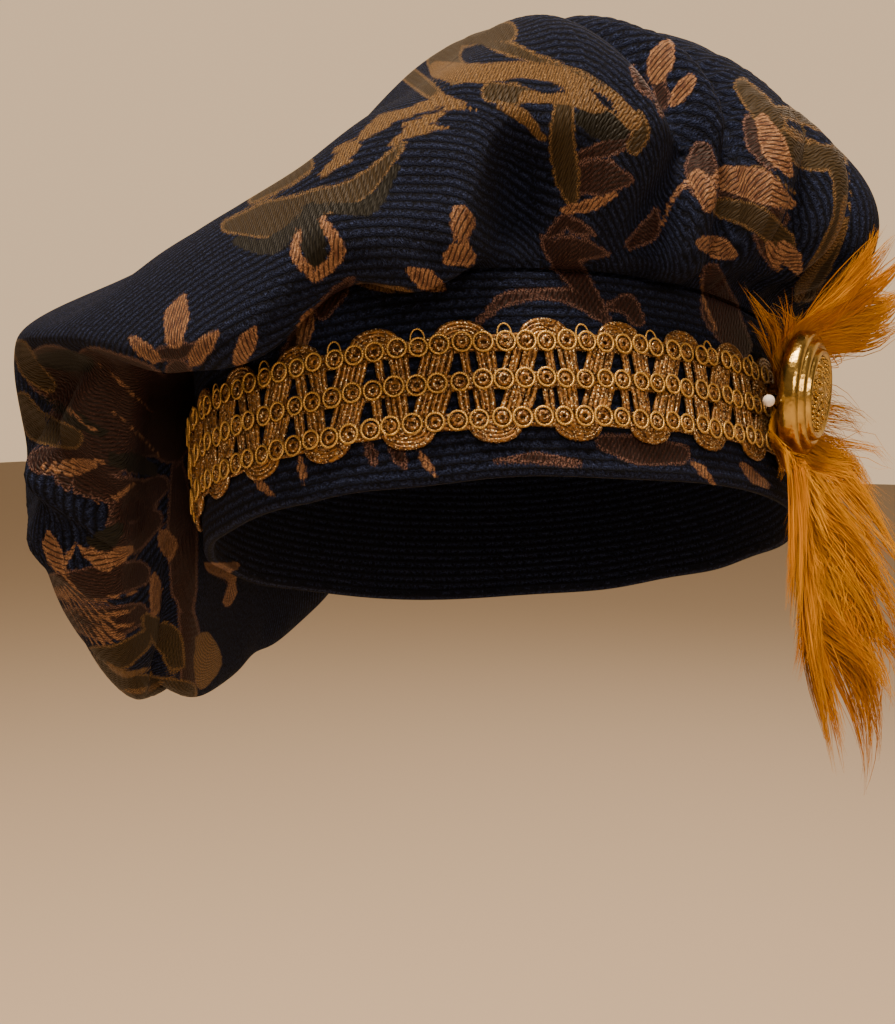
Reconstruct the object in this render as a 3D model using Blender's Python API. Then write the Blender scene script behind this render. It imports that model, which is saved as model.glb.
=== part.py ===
"""Renaissance beret: a full gathered crown of tapestry cloth on a headband, a scalloped
gold trim round the band, and a metal button that holds a plume beside a ball-headed pin.

Every piece is modelled with the rim of the band level, the forehead toward -Y and the
wearer's left toward +X, the rim's centre at the origin. The empty worn_tilt then leans
them all the way a head wears them, so that the bag of the crown hangs straight down.
"""
import math

import bmesh
import bpy
import numpy as np
from mathutils import Euler

MM = 0.001

# Driving sizes, in millimetres and degrees
HEAD_WIDTH = 156.0
HEAD_LENGTH = 198.0
BAND_WALL = 3.0
BAND_HEIGHT = 52.0
BAND_STEPS = 72
CLOTH = 2.0
GAP = 0.4
CROWN_TOP = 158.0
LEAN_BACK = 11.0
LEAN_RIGHT = 12.3

BAND_X = HEAD_WIDTH / 2 + BAND_WALL
BAND_Y = HEAD_LENGTH / 2 + BAND_WALL

TRIM_REPEATS = 28
TRIM_LOW = 9.0
TRIM_HEIGHT = 29.5
TRIM_WALL = 1.6
SCALLOP_RISE = 3.4
# The scallops' low points stand this share of a repeat before its first line
SCALLOP_SHIFT = 0.14
# Each edge of the rows and pierced tiers: its height over the trim's foot, then the share
# of a repeat at which its four lines cross it, so that each hole is wide at one end
TRIM_COLUMNS = ("height", "line_1", "line_2", "line_3", "line_4")
TRIM_LEVELS = (
    (0.0, 0.01, 0.26, 0.51, 0.76),
    (7.6, 0.00, 0.27, 0.60, 0.67),
    (12.2, 0.10, 0.17, 0.50, 0.77),
    (17.2, 0.00, 0.27, 0.60, 0.67),
    (21.6, 0.10, 0.17, 0.50, 0.77),
    (TRIM_HEIGHT, 0.01, 0.26, 0.51, 0.76),
)

BUTTON_WIDTH = 32.0
BUTTON_RISE = 5.6
BUTTON_OFFSET = 10.6
BUTTON_BACK = 1.0
BUTTON_HEIGHT = 27.0
BUTTON_TURN = 2.0
SHANK_WIDTH = 4.4
SHANK_LENGTH = 5.4
BUTTON_STEPS = 28

PIN_BALL = 3.3
PIN_WIRE = 0.8
PIN_LENGTH = 20.5
PIN_POINT = 2.0
PIN_OFFSET = 8.3
PIN_FRONT = 19.5
PIN_HEIGHT = 21.6
PIN_TURN = 8.0
PIN_STEPS = 12
BALL_ROWS = 8
BALL_ROW_ANGLE = 22.0

PLUME_LOCKS = 13
PLUME_WALL = 1.8
# How far each side of a lock spreads over the parting, from the spine out to its tip
LOCK_SPREAD = (0.0, 0.36, 0.34, 0.05)

# The crown's sections: at each azimuth (0 is the forehead, 90 the wearer's left) the cloth
# leaves the band, turns under, reaches its low point, swells out, nips in below the lip,
# folds over the lip and climbs by the brow and the dome to the centre.
# Each r is a distance from the rim's centre line and each z a height over the rim.
CROWN_COLUMNS = ("azimuth", "under_r", "under_z", "low_r", "low_z", "out_r", "out_z",
                 "nip_r", "nip_z", "lip_r", "lip_z", "brow_r", "brow_z", "dome_r", "dome_z")
CROWN_SECTIONS = (
    (-160, 104, 58, 111, 54, 119, 60, 122, 68, 121, 79, 100, 108, 60, 135),
    (-128, 96, 42, 108, 24, 124, 30, 130, 52, 131, 78, 106, 109, 60, 133),
    (-98, 92, 18, 108, -16, 133, 0, 141, 40, 140, 79, 110, 106, 60, 130),
    (-76, 96, -7, 114, -34, 136, -12, 143, 36, 145, 79, 106, 103, 58, 124),
    (-60, 98, -2, 116, -26, 135, -2, 142, 44, 143, 77, 104, 97, 57, 118),
    (-49, 103, 24, 114, -2, 136, 22, 126, 54, 139, 69, 100, 89, 56, 114),
    (-30, 104, 50, 111, 48, 117, 47, 122, 50, 130, 55, 108, 78, 60, 108),
    (-10, 110, 50, 114, 43, 119, 37, 123, 34, 127, 40, 111, 73, 62, 107),
    (2, 108, 50, 113, 40, 118, 34, 122, 33, 127, 40, 111, 76, 61, 112),
    (11, 104, 51, 110, 48, 115, 47, 119, 48, 124, 55, 110, 84, 60, 118),
    (21, 104, 51, 110, 45, 115, 42, 119, 44, 123, 55, 110, 90, 60, 123),
    (27, 102, 52, 108, 49, 112, 48, 116, 52, 120, 62, 108, 96, 60, 126),
    (31, 97, 54, 97, 58, 96, 64, 100, 72, 112, 80, 104, 102, 60, 129),
    (40, 94, 52, 97, 54, 101, 62, 106, 72, 111, 84, 97, 110, 60, 133),
    (60, 90, 50, 98, 50, 106, 62, 110, 74, 110, 88, 94, 112, 62, 137),
    (80, 86, 54, 95, 55, 106, 63, 111, 76, 111, 89, 95, 114, 62, 141),
    (105, 88, 58, 98, 60, 110, 67, 115, 79, 113, 92, 94, 119, 62, 144),
    (135, 98, 62, 107, 66, 115, 74, 119, 86, 116, 98, 98, 122, 62, 144),
    (170, 106, 60, 111, 62, 117, 69, 120, 79, 118, 91, 100, 117, 60, 141),
)
STATIONS = (len(CROWN_COLUMNS) - 1) // 2 + 1
ROWS_PER_STATION = (2, 2, 3, 3, 2, 3, 3, 2)
WIDEST_STEP = 5.0
# The deep gathers over the left brow need closer columns
GATHERED_FROM = 31.0
GATHERED_TO = 80.0
GATHERED_STEP = 3.4

# Folds run over that form from one azimuth and station to another. A bow bends the run
# sideways by so many degrees, a height below zero is a valley, and both are in millimetres.
FOLD_COLUMNS = ("from_az", "from_station", "to_az", "to_station", "bow", "height", "width")
CROWN_FOLDS = (
    (-31, 4.1, -47, 1.3, 4, -3, 5),
    (-36, 3.8, -46, 1.3, 3, 3, 5),
    (-50, 4.2, -46, 1.3, 5, -4, 5),
    (-56, 4.4, -47, 1.3, 5, 4, 6),
    (-58, 4.1, -48, 1.3, 5, -3, 5),
    (-62, 3.8, -50, 1.4, 5, 4, 7),
    (-46, 2.7, -52, 1.2, 0, -4, 6),
    (-57, 0.9, -84, 2.5, 0, -7, 5),
    (34, 6.9, 51, 5.0, 3, 5, 12),
    (43, 7.2, 60, 4.6, 4, -10, 9),
    (60, 4.6, 50, 2.2, 0, -7, 7),
    (58, 7.0, 61, 3.6, 3, 4, 8),
    (74, 7.0, 67, 2.0, -3, -10, 8),
    (88, 6.2, 78, 1.6, -2, -7, 7),
    (98, 6.0, 93, 1.6, 0, -9, 7),
    (116, 6.0, 113, 1.4, 0, -8, 8),
    (134, 6.0, 131, 1.4, 0, -8, 8),
    (152, 6.0, 150, 1.4, 0, -8, 8),
    (170, 6.0, 168, 1.4, 0, -8, 8),
    (-172, 6.0, -174, 1.4, 0, -7, 8),
    (-150, 6.0, -150, 2.4, 0, -6, 8),
)
FOLD_SAMPLES = 25


def clear_scene():
    for thing in list(bpy.data.objects):
        bpy.data.objects.remove(thing, do_unlink=True)


def plain_material(name, colour, roughness, metallic=0.0):
    material = bpy.data.materials.new(name)
    material.use_nodes = True
    shader = material.node_tree.nodes["Principled BSDF"]
    shader.inputs["Base Color"].default_value = (*colour, 1.0)
    shader.inputs["Roughness"].default_value = roughness
    shader.inputs["Metallic"].default_value = metallic
    material.diffuse_color = (*colour, 1.0)
    return material


def add_piece(name, bm, material, tilt):
    """Turn a bmesh in millimetres into a smooth object that leans with the hat."""
    bmesh.ops.scale(bm, vec=(MM, MM, MM), verts=bm.verts)
    mesh = bpy.data.meshes.new(name)
    bm.to_mesh(mesh)
    bm.free()
    mesh.materials.append(material)
    mesh.shade_smooth()
    piece = bpy.data.objects.new(name, mesh)
    piece.parent = tilt
    bpy.context.scene.collection.objects.link(piece)
    return piece


def give_wall(piece, wall, side):
    """Thicken a sheet by wall millimetres: side -1 inward, 1 outward."""
    solidify = piece.modifiers.new("wall", 'SOLIDIFY')
    solidify.thickness = wall * MM
    solidify.offset = side
    solidify.use_even_offset = False


def bent_grid(columns, rows, place, keep=None, weld=0.001):
    """A flat grid of columns by rows cells, bent by place(u, v) and welded where it meets.

    place takes arrays of grid indices and returns an (n, 3) array. keep(column, row) tells
    whether a cell stays, so a pierced sheet is the same grid with some cells left out.
    """
    bm = bmesh.new()
    bmesh.ops.create_grid(bm, x_segments=columns, y_segments=rows, size=0.5)
    flat = np.array([vert.co for vert in bm.verts])
    u = np.rint((flat[:, 0] + 0.5) * columns)
    v = np.rint((flat[:, 1] + 0.5) * rows)
    if keep is not None:
        holes = []
        for face in bm.faces:
            middle = face.calc_center_median()
            column = int((middle.x + 0.5) * columns)
            row = int((middle.y + 0.5) * rows)
            if not keep(column, row):
                holes.append(face)
        bmesh.ops.delete(bm, geom=holes, context='FACES_ONLY')
    for vert, point in zip(bm.verts, place(u, v)):
        vert.co = point
    loose = [vert for vert in bm.verts if not vert.link_faces]
    bmesh.ops.delete(bm, geom=loose, context='VERTS')
    bmesh.ops.remove_doubles(bm, verts=bm.verts, dist=weld)
    return bm


def ellipse_radius(azimuth, half_x, half_y):
    turn = np.radians(azimuth)
    return 1.0 / np.sqrt((np.sin(turn) / half_x) ** 2 + (np.cos(turn) / half_y) ** 2)


def polar(azimuth, radius, height):
    turn = np.radians(azimuth)
    return np.stack([radius * np.sin(turn), -radius * np.cos(turn), height + 0.0 * turn], axis=-1)


def band_curve(arc, outward):
    """Point and azimuth at an arc length round the band, on a line outward of its face."""
    azimuths = np.linspace(0.0, 360.0, 1441)
    ring = polar(azimuths, ellipse_radius(azimuths, BAND_X, BAND_Y), 0.0)
    steps = np.linalg.norm(np.diff(ring, axis=0), axis=1)
    lengths = np.concatenate([[0.0], np.cumsum(steps)])
    azimuth = np.interp(np.mod(arc, lengths[-1]), lengths, azimuths)
    radius = ellipse_radius(azimuth, BAND_X + outward, BAND_Y + outward)
    return azimuth, radius, lengths[-1]


def hermite(start, end, start_slope, end_slope, t):
    """The cubic from start to end over t in 0 to 1, slopes given over that whole stretch."""
    ease_start = 2 * t ** 3 - 3 * t ** 2 + 1
    ease_end = 3 * t ** 2 - 2 * t ** 3
    lift_start = t ** 3 - 2 * t ** 2 + t
    lift_end = t ** 3 - t ** 2
    return ease_start * start + lift_start * start_slope + ease_end * end + lift_end * end_slope


def crown_profile(azimuth):
    """The station points (n, STATIONS + 1, 2) of the sections at these azimuths."""
    rows = np.array(CROWN_SECTIONS, dtype=float)
    angles = np.concatenate([rows[-2:, 0] - 360.0, rows[:, 0], rows[:2, 0] + 360.0])
    values = np.concatenate([rows[-2:, 1:], rows[:, 1:], rows[:2, 1:]])
    span = np.diff(angles)[:, None]
    rate = np.diff(values, axis=0) / span
    slope = np.zeros_like(values)
    slope[1:-1] = (rate[:-1] * span[1:] + rate[1:] * span[:-1]) / (span[1:] + span[:-1])
    turned = (np.asarray(azimuth, dtype=float) + 180.0) % 360.0 - 180.0
    at = np.clip(np.searchsorted(angles, turned, side="right") - 1, 1, len(angles) - 3)
    t = ((turned - angles[at]) / span[at, 0])[:, None]
    between = hermite(values[at], values[at + 1], slope[at] * span[at], slope[at + 1] * span[at], t)
    points = np.zeros((len(turned), STATIONS + 1, 2))
    points[:, 0, 0] = ellipse_radius(turned, BAND_X, BAND_Y)
    points[:, 0, 1] = BAND_HEIGHT + GAP
    points[:, 1:-1] = between.reshape(len(turned), STATIONS - 1, 2)
    points[:, -1] = (0.0, CROWN_TOP)
    return points


def crown_form(azimuth, station):
    """The smooth form (n, m, 2) of the sections through their stations, without folds."""
    points = crown_profile(azimuth)
    step = np.sqrt(np.linalg.norm(np.diff(points, axis=1), axis=2))[:, :, None]
    rate = np.diff(points, axis=1) / step
    slope = np.zeros_like(points)
    weighted = rate[:, :-1] * step[:, 1:] + rate[:, 1:] * step[:, :-1]
    slope[:, 1:-1] = weighted / (step[:, 1:] + step[:, :-1])
    slope[:, 0] = rate[:, 0]
    slope[:, -1, 0] = rate[:, -1, 0]
    station = np.asarray(station, dtype=float)
    at = np.minimum(station.astype(int), STATIONS - 1)
    t = (station - at)[None, :, None]
    span = step[:, at]
    return hermite(points[:, at], points[:, at + 1], slope[:, at] * span, slope[:, at + 1] * span, t)


def fold_path(fold):
    """Points along a fold on the smooth form, and how much of the fold is there."""
    from_az, from_station, to_az, to_station, bow = fold[:5]
    along = np.linspace(0.0, 1.0, FOLD_SAMPLES)
    azimuth = from_az + (to_az - from_az) * along + bow * 4.0 * along * (1.0 - along)
    station = from_station + (to_station - from_station) * along
    form = crown_form(azimuth, station)[np.arange(FOLD_SAMPLES), np.arange(FOLD_SAMPLES)]
    strength = np.sin(math.pi * (0.12 + 0.76 * along)) ** 0.7
    return polar(azimuth, form[:, 0], form[:, 1]), strength


def crown_surface(azimuth, station):
    """The outside of the crown (n, m, 3): the form, moved along each section's normal by the folds."""
    form = crown_form(azimuth, station)
    spread = np.repeat(azimuth[:, None], len(station), axis=1)
    points = polar(spread, form[..., 0], form[..., 1])
    lift = np.zeros(form.shape[:2])
    for fold in CROWN_FOLDS:
        path, strength = fold_path(fold)
        height, width = fold[5:]
        distance = np.linalg.norm(points[:, :, None, :] - path[None, None], axis=3)
        nearest = distance.argmin(axis=2)
        lift += height * strength[nearest] * np.exp(-(distance.min(axis=2) / width) ** 2)
    ends = np.clip(station / 0.5, 0.0, 1.0) * np.clip((STATIONS - station) / 0.4, 0.0, 1.0)
    slope = np.gradient(form, axis=1)
    normal = np.stack([slope[..., 1], -slope[..., 0]], axis=-1)
    normal /= np.maximum(np.linalg.norm(normal, axis=2, keepdims=True), 1e-9)
    folded = form + normal * (lift * ends)[..., None]
    return polar(spread, folded[..., 0], folded[..., 1])


def crown_azimuths():
    """Azimuths for the grid: every section, with even steps between neighbours."""
    angles = [row[0] for row in CROWN_SECTIONS]
    angles.append(angles[0] + 360.0)
    steps = []
    for start, end in zip(angles, angles[1:]):
        is_gathered = GATHERED_FROM <= start < GATHERED_TO
        count = math.ceil((end - start) / (GATHERED_STEP if is_gathered else WIDEST_STEP))
        steps.extend(np.linspace(start, end, count, endpoint=False))
    steps.append(angles[-1])
    return np.array(steps)


def crown_stations():
    stations = [0.0]
    for number, count in enumerate(ROWS_PER_STATION):
        stations.extend(number + (i + 1) / count for i in range(count))
    return np.array(stations)


def make_crown(material, tilt):
    azimuths = crown_azimuths()
    stations = crown_stations()
    surface = crown_surface(azimuths, stations)

    def place(u, v):
        return surface[u.astype(int), v.astype(int)]

    bm = bent_grid(len(azimuths) - 1, len(stations) - 1, place)
    crown = add_piece("crown", bm, material, tilt)
    give_wall(crown, CLOTH, -1)
    return crown


def make_headband(material, tilt):
    steps = BAND_STEPS
    inner = -BAND_WALL
    walls = ((inner, 0.0), (0.0, 0.0), (0.0, BAND_HEIGHT), (inner, BAND_HEIGHT), (inner, 0.0))
    profile = np.array(walls)

    def place(u, v):
        azimuth = u * 360.0 / steps
        outward, height = profile[v.astype(int)].T
        radius = ellipse_radius(azimuth, BAND_X + outward, BAND_Y + outward)
        return polar(azimuth, radius, height)

    bm = bent_grid(steps, len(profile) - 1, place)
    return add_piece("headband", bm, material, tilt)


def make_trim(material, tilt):
    """A strip of two pierced tiers between three solid rows, its edges cut in scallops."""
    table = np.array(TRIM_LEVELS)
    columns = len(TRIM_COLUMNS) - 1
    bands = ("low_row", "low_tier", "middle_row", "high_tier", "high_row")
    top = len(bands)
    pitch = band_curve(0.0, 0.0)[2] / TRIM_REPEATS

    def place(u, v):
        line = u.astype(int) % columns
        level = v.astype(int)
        repeat = u.astype(int) // columns
        share = table[level, line + 1]
        height = TRIM_LOW + table[level, 0]
        low_mound = np.abs(np.sin(math.pi * (share + SCALLOP_SHIFT)))
        high_mound = np.abs(np.cos(math.pi * (share + SCALLOP_SHIFT)))
        height = np.where(level == 0, height + SCALLOP_RISE * (1 - low_mound), height)
        height = np.where(level == top, height - SCALLOP_RISE * (1 - high_mound), height)
        azimuth, radius, _ = band_curve((repeat + share) * pitch, GAP)
        return polar(azimuth, radius, height)

    def keep(column, row):
        is_tier = bands[row] in ("low_tier", "high_tier")
        return not (is_tier and column % 2 == 0)

    bm = bent_grid(TRIM_REPEATS * columns, len(bands), place, keep)
    trim = add_piece("trim", bm, material, tilt)
    give_wall(trim, TRIM_WALL, 1)
    return trim


def turned_body(profile, steps):
    """Spin (radius, height) points round Z into a closed body."""
    bm = bmesh.new()
    points = [bm.verts.new((radius, 0.0, height)) for radius, height in profile]
    edges = [bm.edges.new(pair) for pair in zip(points, points[1:])]
    bmesh.ops.spin(bm, geom=points + edges, cent=(0, 0, 0), axis=(0, 0, 1), angle=2 * math.pi, steps=steps)
    bmesh.ops.remove_doubles(bm, verts=bm.verts, dist=0.001)
    bmesh.ops.recalc_face_normals(bm, faces=bm.faces)
    return bm


def make_button(material, tilt):
    """A domed metal button with a stepped rim, a round boss and a short shank behind."""
    half = BUTTON_WIDTH / 2
    rise = BUTTON_RISE
    shank = SHANK_WIDTH / 2
    profile = (
        (0.0, -SHANK_LENGTH), (shank, -SHANK_LENGTH), (shank, 0.0),
        (half - 1.0, 0.0), (half, 0.5), (half, 1.4),
        (half - 1.2, 2.4), (half - 2.4, 2.2), (half - 3.0, 3.2), (half - 4.2, 3.0),
        (half - 6.5, rise - 1.1), (half - 10.5, rise - 0.4), (half - 12.5, rise + 0.2), (0.0, rise + 0.5),
    )
    bm = turned_body(profile, BUTTON_STEPS)
    button = add_piece("button", bm, material, tilt)
    button.rotation_euler = (0.0, math.radians(90.0), math.radians(BUTTON_TURN))
    button.location = ((BAND_X + BUTTON_OFFSET) * MM, BUTTON_BACK * MM, BUTTON_HEIGHT * MM)
    return button


def make_pin(material, tilt):
    """A ball-headed pin, turned in one piece and laid behind the button."""
    ball = PIN_BALL / 2
    wire = PIN_WIRE / 2
    arc = [(0.0, -ball)]
    for i in range(1, BALL_ROWS):
        turn = math.radians(180.0 - BALL_ROW_ANGLE * i)
        arc.append((ball * math.sin(turn), ball * math.cos(turn)))
    profile = (*arc, (wire, ball), (wire, PIN_LENGTH - PIN_POINT), (0.0, PIN_LENGTH))
    bm = turned_body(profile, PIN_STEPS)
    pin = add_piece("hat_pin", bm, material, tilt)
    pin.rotation_euler = (math.radians(-90.0), 0.0, math.radians(PIN_TURN))
    pin.location = ((BAND_X + PIN_OFFSET) * MM, -PIN_FRONT * MM, PIN_HEIGHT * MM)
    return pin


# The plume's spine from the tip of its upper fluff, under the button, to its hanging tip:
# x out from the wearer's left, y to the back, z up, then how far the barbs reach to the
# front and back, how far their tips drop there, and how far the back ones stand out
PLUME_COLUMNS = ("x", "y", "z", "front_width", "back_width", "front_drop", "back_drop", "back_out")
PLUME_SPINE = (
    (114, 26, 64, 9, 10, -4, 2, 0),
    (106, 18, 56, 14, 18, -3, 8, 0),
    (96, 8, 46.5, 18, 20, -2, 9, 1),
    (86.4, -1, 37, 8, 7, 0, 0, 1),
    (85.5, -1, 24, 6, 6, 2, 2, 1),
    (86.2, -2, 6, 8, 20, 8, 8, 12),
    (86.5, -3, -9, 15, 28, 12, 10, 18),
    (86, -3, -24, 19, 32, 15, 13, 19),
    (85.5, -1, -39, 18, 30, 15, 13, 16),
    (86, 4, -54, 13, 22, 12, 12, 9),
)


def plume_surface(along, across):
    """A point of the plume: along 0 to 1 down the spine, across -1 (front) to 1 (back)."""
    table = np.array(PLUME_SPINE, dtype=float)
    knots = np.linspace(0.0, 1.0, len(table))
    slope = np.gradient(table, knots, axis=0)
    at = np.minimum((along * (len(table) - 1)).astype(int), len(table) - 2)
    t = (along * (len(table) - 1) - at)[:, None]
    span = knots[1]
    row = hermite(table[at], table[at + 1], slope[at] * span, slope[at + 1] * span, t)
    side = np.sign(across)
    reach = np.abs(across)
    is_front = side < 0
    width = np.where(is_front, row[:, 3], row[:, 4]) * reach
    drop = np.where(is_front, row[:, 5], row[:, 6]) * reach ** 1.5
    x = row[:, 0] + np.where(is_front, 0.0, row[:, 7]) * reach
    y = row[:, 1] + side * width
    z = row[:, 2] - drop
    return np.stack([x, y, z], axis=-1)


def make_plume(material, tilt):
    """One sheet of barbs, parted into locks that stay joined along the spine."""
    columns = 2 * PLUME_LOCKS
    rows = 2 * len(LOCK_SPREAD) - 2

    def place(u, v):
        across = (v - rows / 2) / (rows / 2)
        steps_out = np.abs(v - rows / 2).astype(int)
        spread = np.array(LOCK_SPREAD)[steps_out] * np.where(u % 2 == 0, -1.0, 1.0)
        return plume_surface(np.clip((u + spread) / columns, 0.0, 1.0), across)

    def keep(column, row):
        return column % 2 == 0 or row in (rows // 2 - 1, rows // 2)

    bm = bent_grid(columns, rows, place, keep)
    plume = add_piece("plume", bm, material, tilt)
    give_wall(plume, PLUME_WALL, -1)
    return plume


def main():
    clear_scene()
    tilt = bpy.data.objects.new("worn_tilt", None)
    tilt.rotation_euler = Euler((math.radians(-LEAN_BACK), math.radians(-LEAN_RIGHT), 0.0), 'XYZ')
    bpy.context.scene.collection.objects.link(tilt)
    tapestry = plain_material("tapestry", (0.030, 0.045, 0.095), 0.9)
    braid = plain_material("gold_braid", (0.55, 0.33, 0.06), 0.5, 0.4)
    metal = plain_material("gilt_metal", (0.75, 0.60, 0.25), 0.25, 1.0)
    feather = plain_material("yellow_feather", (0.62, 0.30, 0.02), 0.8)
    pearl = plain_material("white_glass", (0.85, 0.80, 0.74), 0.25)
    make_crown(tapestry, tilt)
    make_headband(tapestry, tilt)
    make_trim(braid, tilt)
    make_button(metal, tilt)
    make_plume(feather, tilt)
    make_pin(pearl, tilt)


main()
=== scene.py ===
# %% [markdown]
# # A renaissance beret
# A wide round of ribbed tapestry cloth is gathered on a headband, and its fullness slouches
# over the wearer's right. A scalloped gold braid runs round the band, and a metal button
# holds a dyed plume on the wearer's left. The solids are loaded first, because every piece
# made here lies where they lie.

# %% Load the solids
import math

import bmesh
import bpy
import numpy as np
from mathutils import Euler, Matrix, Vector
from mathutils.bvhtree import BVHTree


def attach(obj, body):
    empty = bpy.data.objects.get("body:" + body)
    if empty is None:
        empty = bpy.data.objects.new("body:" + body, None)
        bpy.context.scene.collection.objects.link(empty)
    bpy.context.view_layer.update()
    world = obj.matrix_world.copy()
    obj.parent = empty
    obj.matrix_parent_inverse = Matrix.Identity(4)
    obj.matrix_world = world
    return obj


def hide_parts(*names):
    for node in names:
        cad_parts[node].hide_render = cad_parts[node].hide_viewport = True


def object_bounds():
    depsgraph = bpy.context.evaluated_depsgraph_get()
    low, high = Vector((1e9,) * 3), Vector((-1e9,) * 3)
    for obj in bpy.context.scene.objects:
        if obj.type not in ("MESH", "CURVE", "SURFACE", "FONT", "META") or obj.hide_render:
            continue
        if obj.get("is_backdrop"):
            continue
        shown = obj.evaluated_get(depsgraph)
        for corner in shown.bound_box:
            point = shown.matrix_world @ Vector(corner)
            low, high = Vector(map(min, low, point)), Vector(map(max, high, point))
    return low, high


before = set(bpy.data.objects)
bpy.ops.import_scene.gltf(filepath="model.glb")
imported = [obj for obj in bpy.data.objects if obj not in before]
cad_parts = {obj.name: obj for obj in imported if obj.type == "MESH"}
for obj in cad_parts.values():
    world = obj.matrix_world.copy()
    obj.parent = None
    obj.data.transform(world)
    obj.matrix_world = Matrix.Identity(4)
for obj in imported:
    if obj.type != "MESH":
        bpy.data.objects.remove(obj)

cad_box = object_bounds()
print("solids:", sorted(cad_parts))

# %% [markdown]
# ## The view
# The camera stands where the picture was taken: half a metre off, a little below the brow,
# to the wearer's left. A pixel of the 895 x 1024 picture can then be turned into a ray, which
# serves later to find where a woven leaf lies on the cloth.

# %% Set up the camera
PICTURE_WIDTH = 895
PICTURE_HEIGHT = 1024
FOCAL_PIXELS = 1682.0
CAMERA_PLACE = Vector((0.2275, -0.4351, 0.045))
CAMERA_TURN = Euler((math.radians(86.0), 0.0, math.radians(29.9)), 'XYZ')
SENSOR = 36.0

camera_data = bpy.data.cameras.new("camera")
camera_data.sensor_width = SENSOR
camera_data.lens = FOCAL_PIXELS / PICTURE_HEIGHT * SENSOR
camera_data.clip_start = 0.01
camera = bpy.data.objects.new("camera", camera_data)
camera.location = CAMERA_PLACE
camera.rotation_euler = CAMERA_TURN
bpy.context.scene.collection.objects.link(camera)
bpy.context.scene.camera = camera


def sight_line(x, y):
    """Direction in the row frame of the ray through a pixel of the picture."""
    across = (x - PICTURE_WIDTH / 2) / FOCAL_PIXELS
    up = (PICTURE_HEIGHT / 2 - y) / FOCAL_PIXELS
    ray = Vector((across, up, -1.0))
    ray.rotate(CAMERA_TURN)
    return ray.normalized()


print("camera at", tuple(round(c, 3) for c in CAMERA_PLACE), "lens", round(camera_data.lens, 1))

# %% [markdown]
# ## Materials start here
# Colours are picked as hex values, which are sRGB, and Blender's shaders want linear light,
# so one function converts them. Another adds a shader node with its settings and links, which
# keeps each material's recipe short enough to read. What goes into a node is a number, a hex
# colour, another node or one of that node's outputs.

# %% Helpers for colours and shader nodes
def linear(hex_colour):
    parts = [int(hex_colour[i:i + 2], 16) / 255 for i in (1, 3, 5)]
    light = [c / 12.92 if c <= 0.04045 else ((c + 0.055) / 1.055) ** 2.4 for c in parts]
    return (*light, 1.0)


def fill(socket, value):
    """Gives an input a value or a hex colour, or links it to a node or to a node's output."""
    if isinstance(value, bpy.types.Node):
        value = next(output for output in value.outputs if output.enabled)
    if isinstance(value, bpy.types.NodeSocket):
        socket.id_data.links.new(value, socket)
    else:
        socket.default_value = linear(value) if isinstance(value, str) else value


def add_node(tree, kind, *values, inputs=(), **settings):
    """A node with its own settings. Values fill its inputs in order, inputs by their names."""
    node = tree.nodes.new("ShaderNode" + kind)
    for name, setting in settings.items():
        setattr(node, name, setting)
    shown = [socket for socket in node.inputs if socket.enabled]
    for socket, value in zip(shown, values):
        fill(socket, value)
    for name, value in dict(inputs).items():
        fill(node.inputs[name], value)
    return node


def new_material(name, inputs):
    """A Principled material with its even values set, its tree and its shader's inputs."""
    material = bpy.data.materials.new(name)
    material.use_nodes = True
    shader = material.node_tree.nodes["Principled BSDF"]
    for input_name, value in inputs.items():
        fill(shader.inputs[input_name], value)
    return material, material.node_tree, shader.inputs


print("half grey in linear light:", round(linear("#808080")[0], 3))

# %% [markdown]
# ## Floor and light
# A plain pale floor and three soft area lights make a small studio. The key stands high in
# front, as a ceiling light does, so that the lip of the crown shades the band below it.

# %% Lay the floor and hang the lights
FLOOR_HEIGHT = -0.30
FLOOR_SIZE = 12.0
# Each light: name, place in metres, size in metres, power in watts, colour
LIGHTS = (
    ("ceiling", (0.05, -0.40, 1.45), 0.45, 46.0, "#ffe6c8"),
    ("front", (0.85, -1.10, 0.50), 0.5, 10.0, "#ffe2c4"),
    ("back", (-0.2, 1.2, 1.0), 0.8, 6.0, "#ffeedd"),
)
LIGHT_AIM = Vector((0.0, 0.0, 0.05))
# The room is dim on the side of the viewer and bright on the far side
ROOM_STRENGTH = 0.22
FAR_STRENGTH = 1.15
FAR_SPAN = (0.3, 0.7)

floor_bm = bmesh.new()
bmesh.ops.create_grid(floor_bm, x_segments=1, y_segments=1, size=FLOOR_SIZE / 2)
bmesh.ops.translate(floor_bm, vec=(0, 0, FLOOR_HEIGHT), verts=floor_bm.verts)
floor_mesh = bpy.data.meshes.new("floor")
floor_bm.to_mesh(floor_mesh)
floor_bm.free()
floor_paint = new_material("pale matte floor", {"Base Color": "#c9b7a2", "Roughness": 0.9})[0]
floor_mesh.materials.append(floor_paint)
floor = bpy.data.objects.new("floor", floor_mesh)
bpy.context.scene.collection.objects.link(floor)
floor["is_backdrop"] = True

for name, place, size, power, tint in LIGHTS:
    light_data = bpy.data.lights.new(name, 'AREA')
    light_data.size = size
    light_data.energy = power
    light_data.color = linear(tint)[:3]
    light = bpy.data.objects.new(name, light_data)
    light.location = place
    light.rotation_euler = (LIGHT_AIM - Vector(place)).to_track_quat('-Z', 'Y').to_euler()
    bpy.context.scene.collection.objects.link(light)

world = bpy.data.worlds.new("pale room")
world.use_nodes = True
tree = world.node_tree
direction = add_node(tree, "TexCoord").outputs["Generated"]
depth = add_node(tree, "SeparateXYZ", direction).outputs["Y"]
room_light = add_node(tree, "MapRange", depth, *FAR_SPAN, ROOM_STRENGTH, FAR_STRENGTH)
fill(tree.nodes["Background"].inputs["Color"], "#e6c39a")
fill(tree.nodes["Background"].inputs["Strength"], room_light)
bpy.context.scene.world = world
print("lights:", [row[0] for row in LIGHTS])

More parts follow.
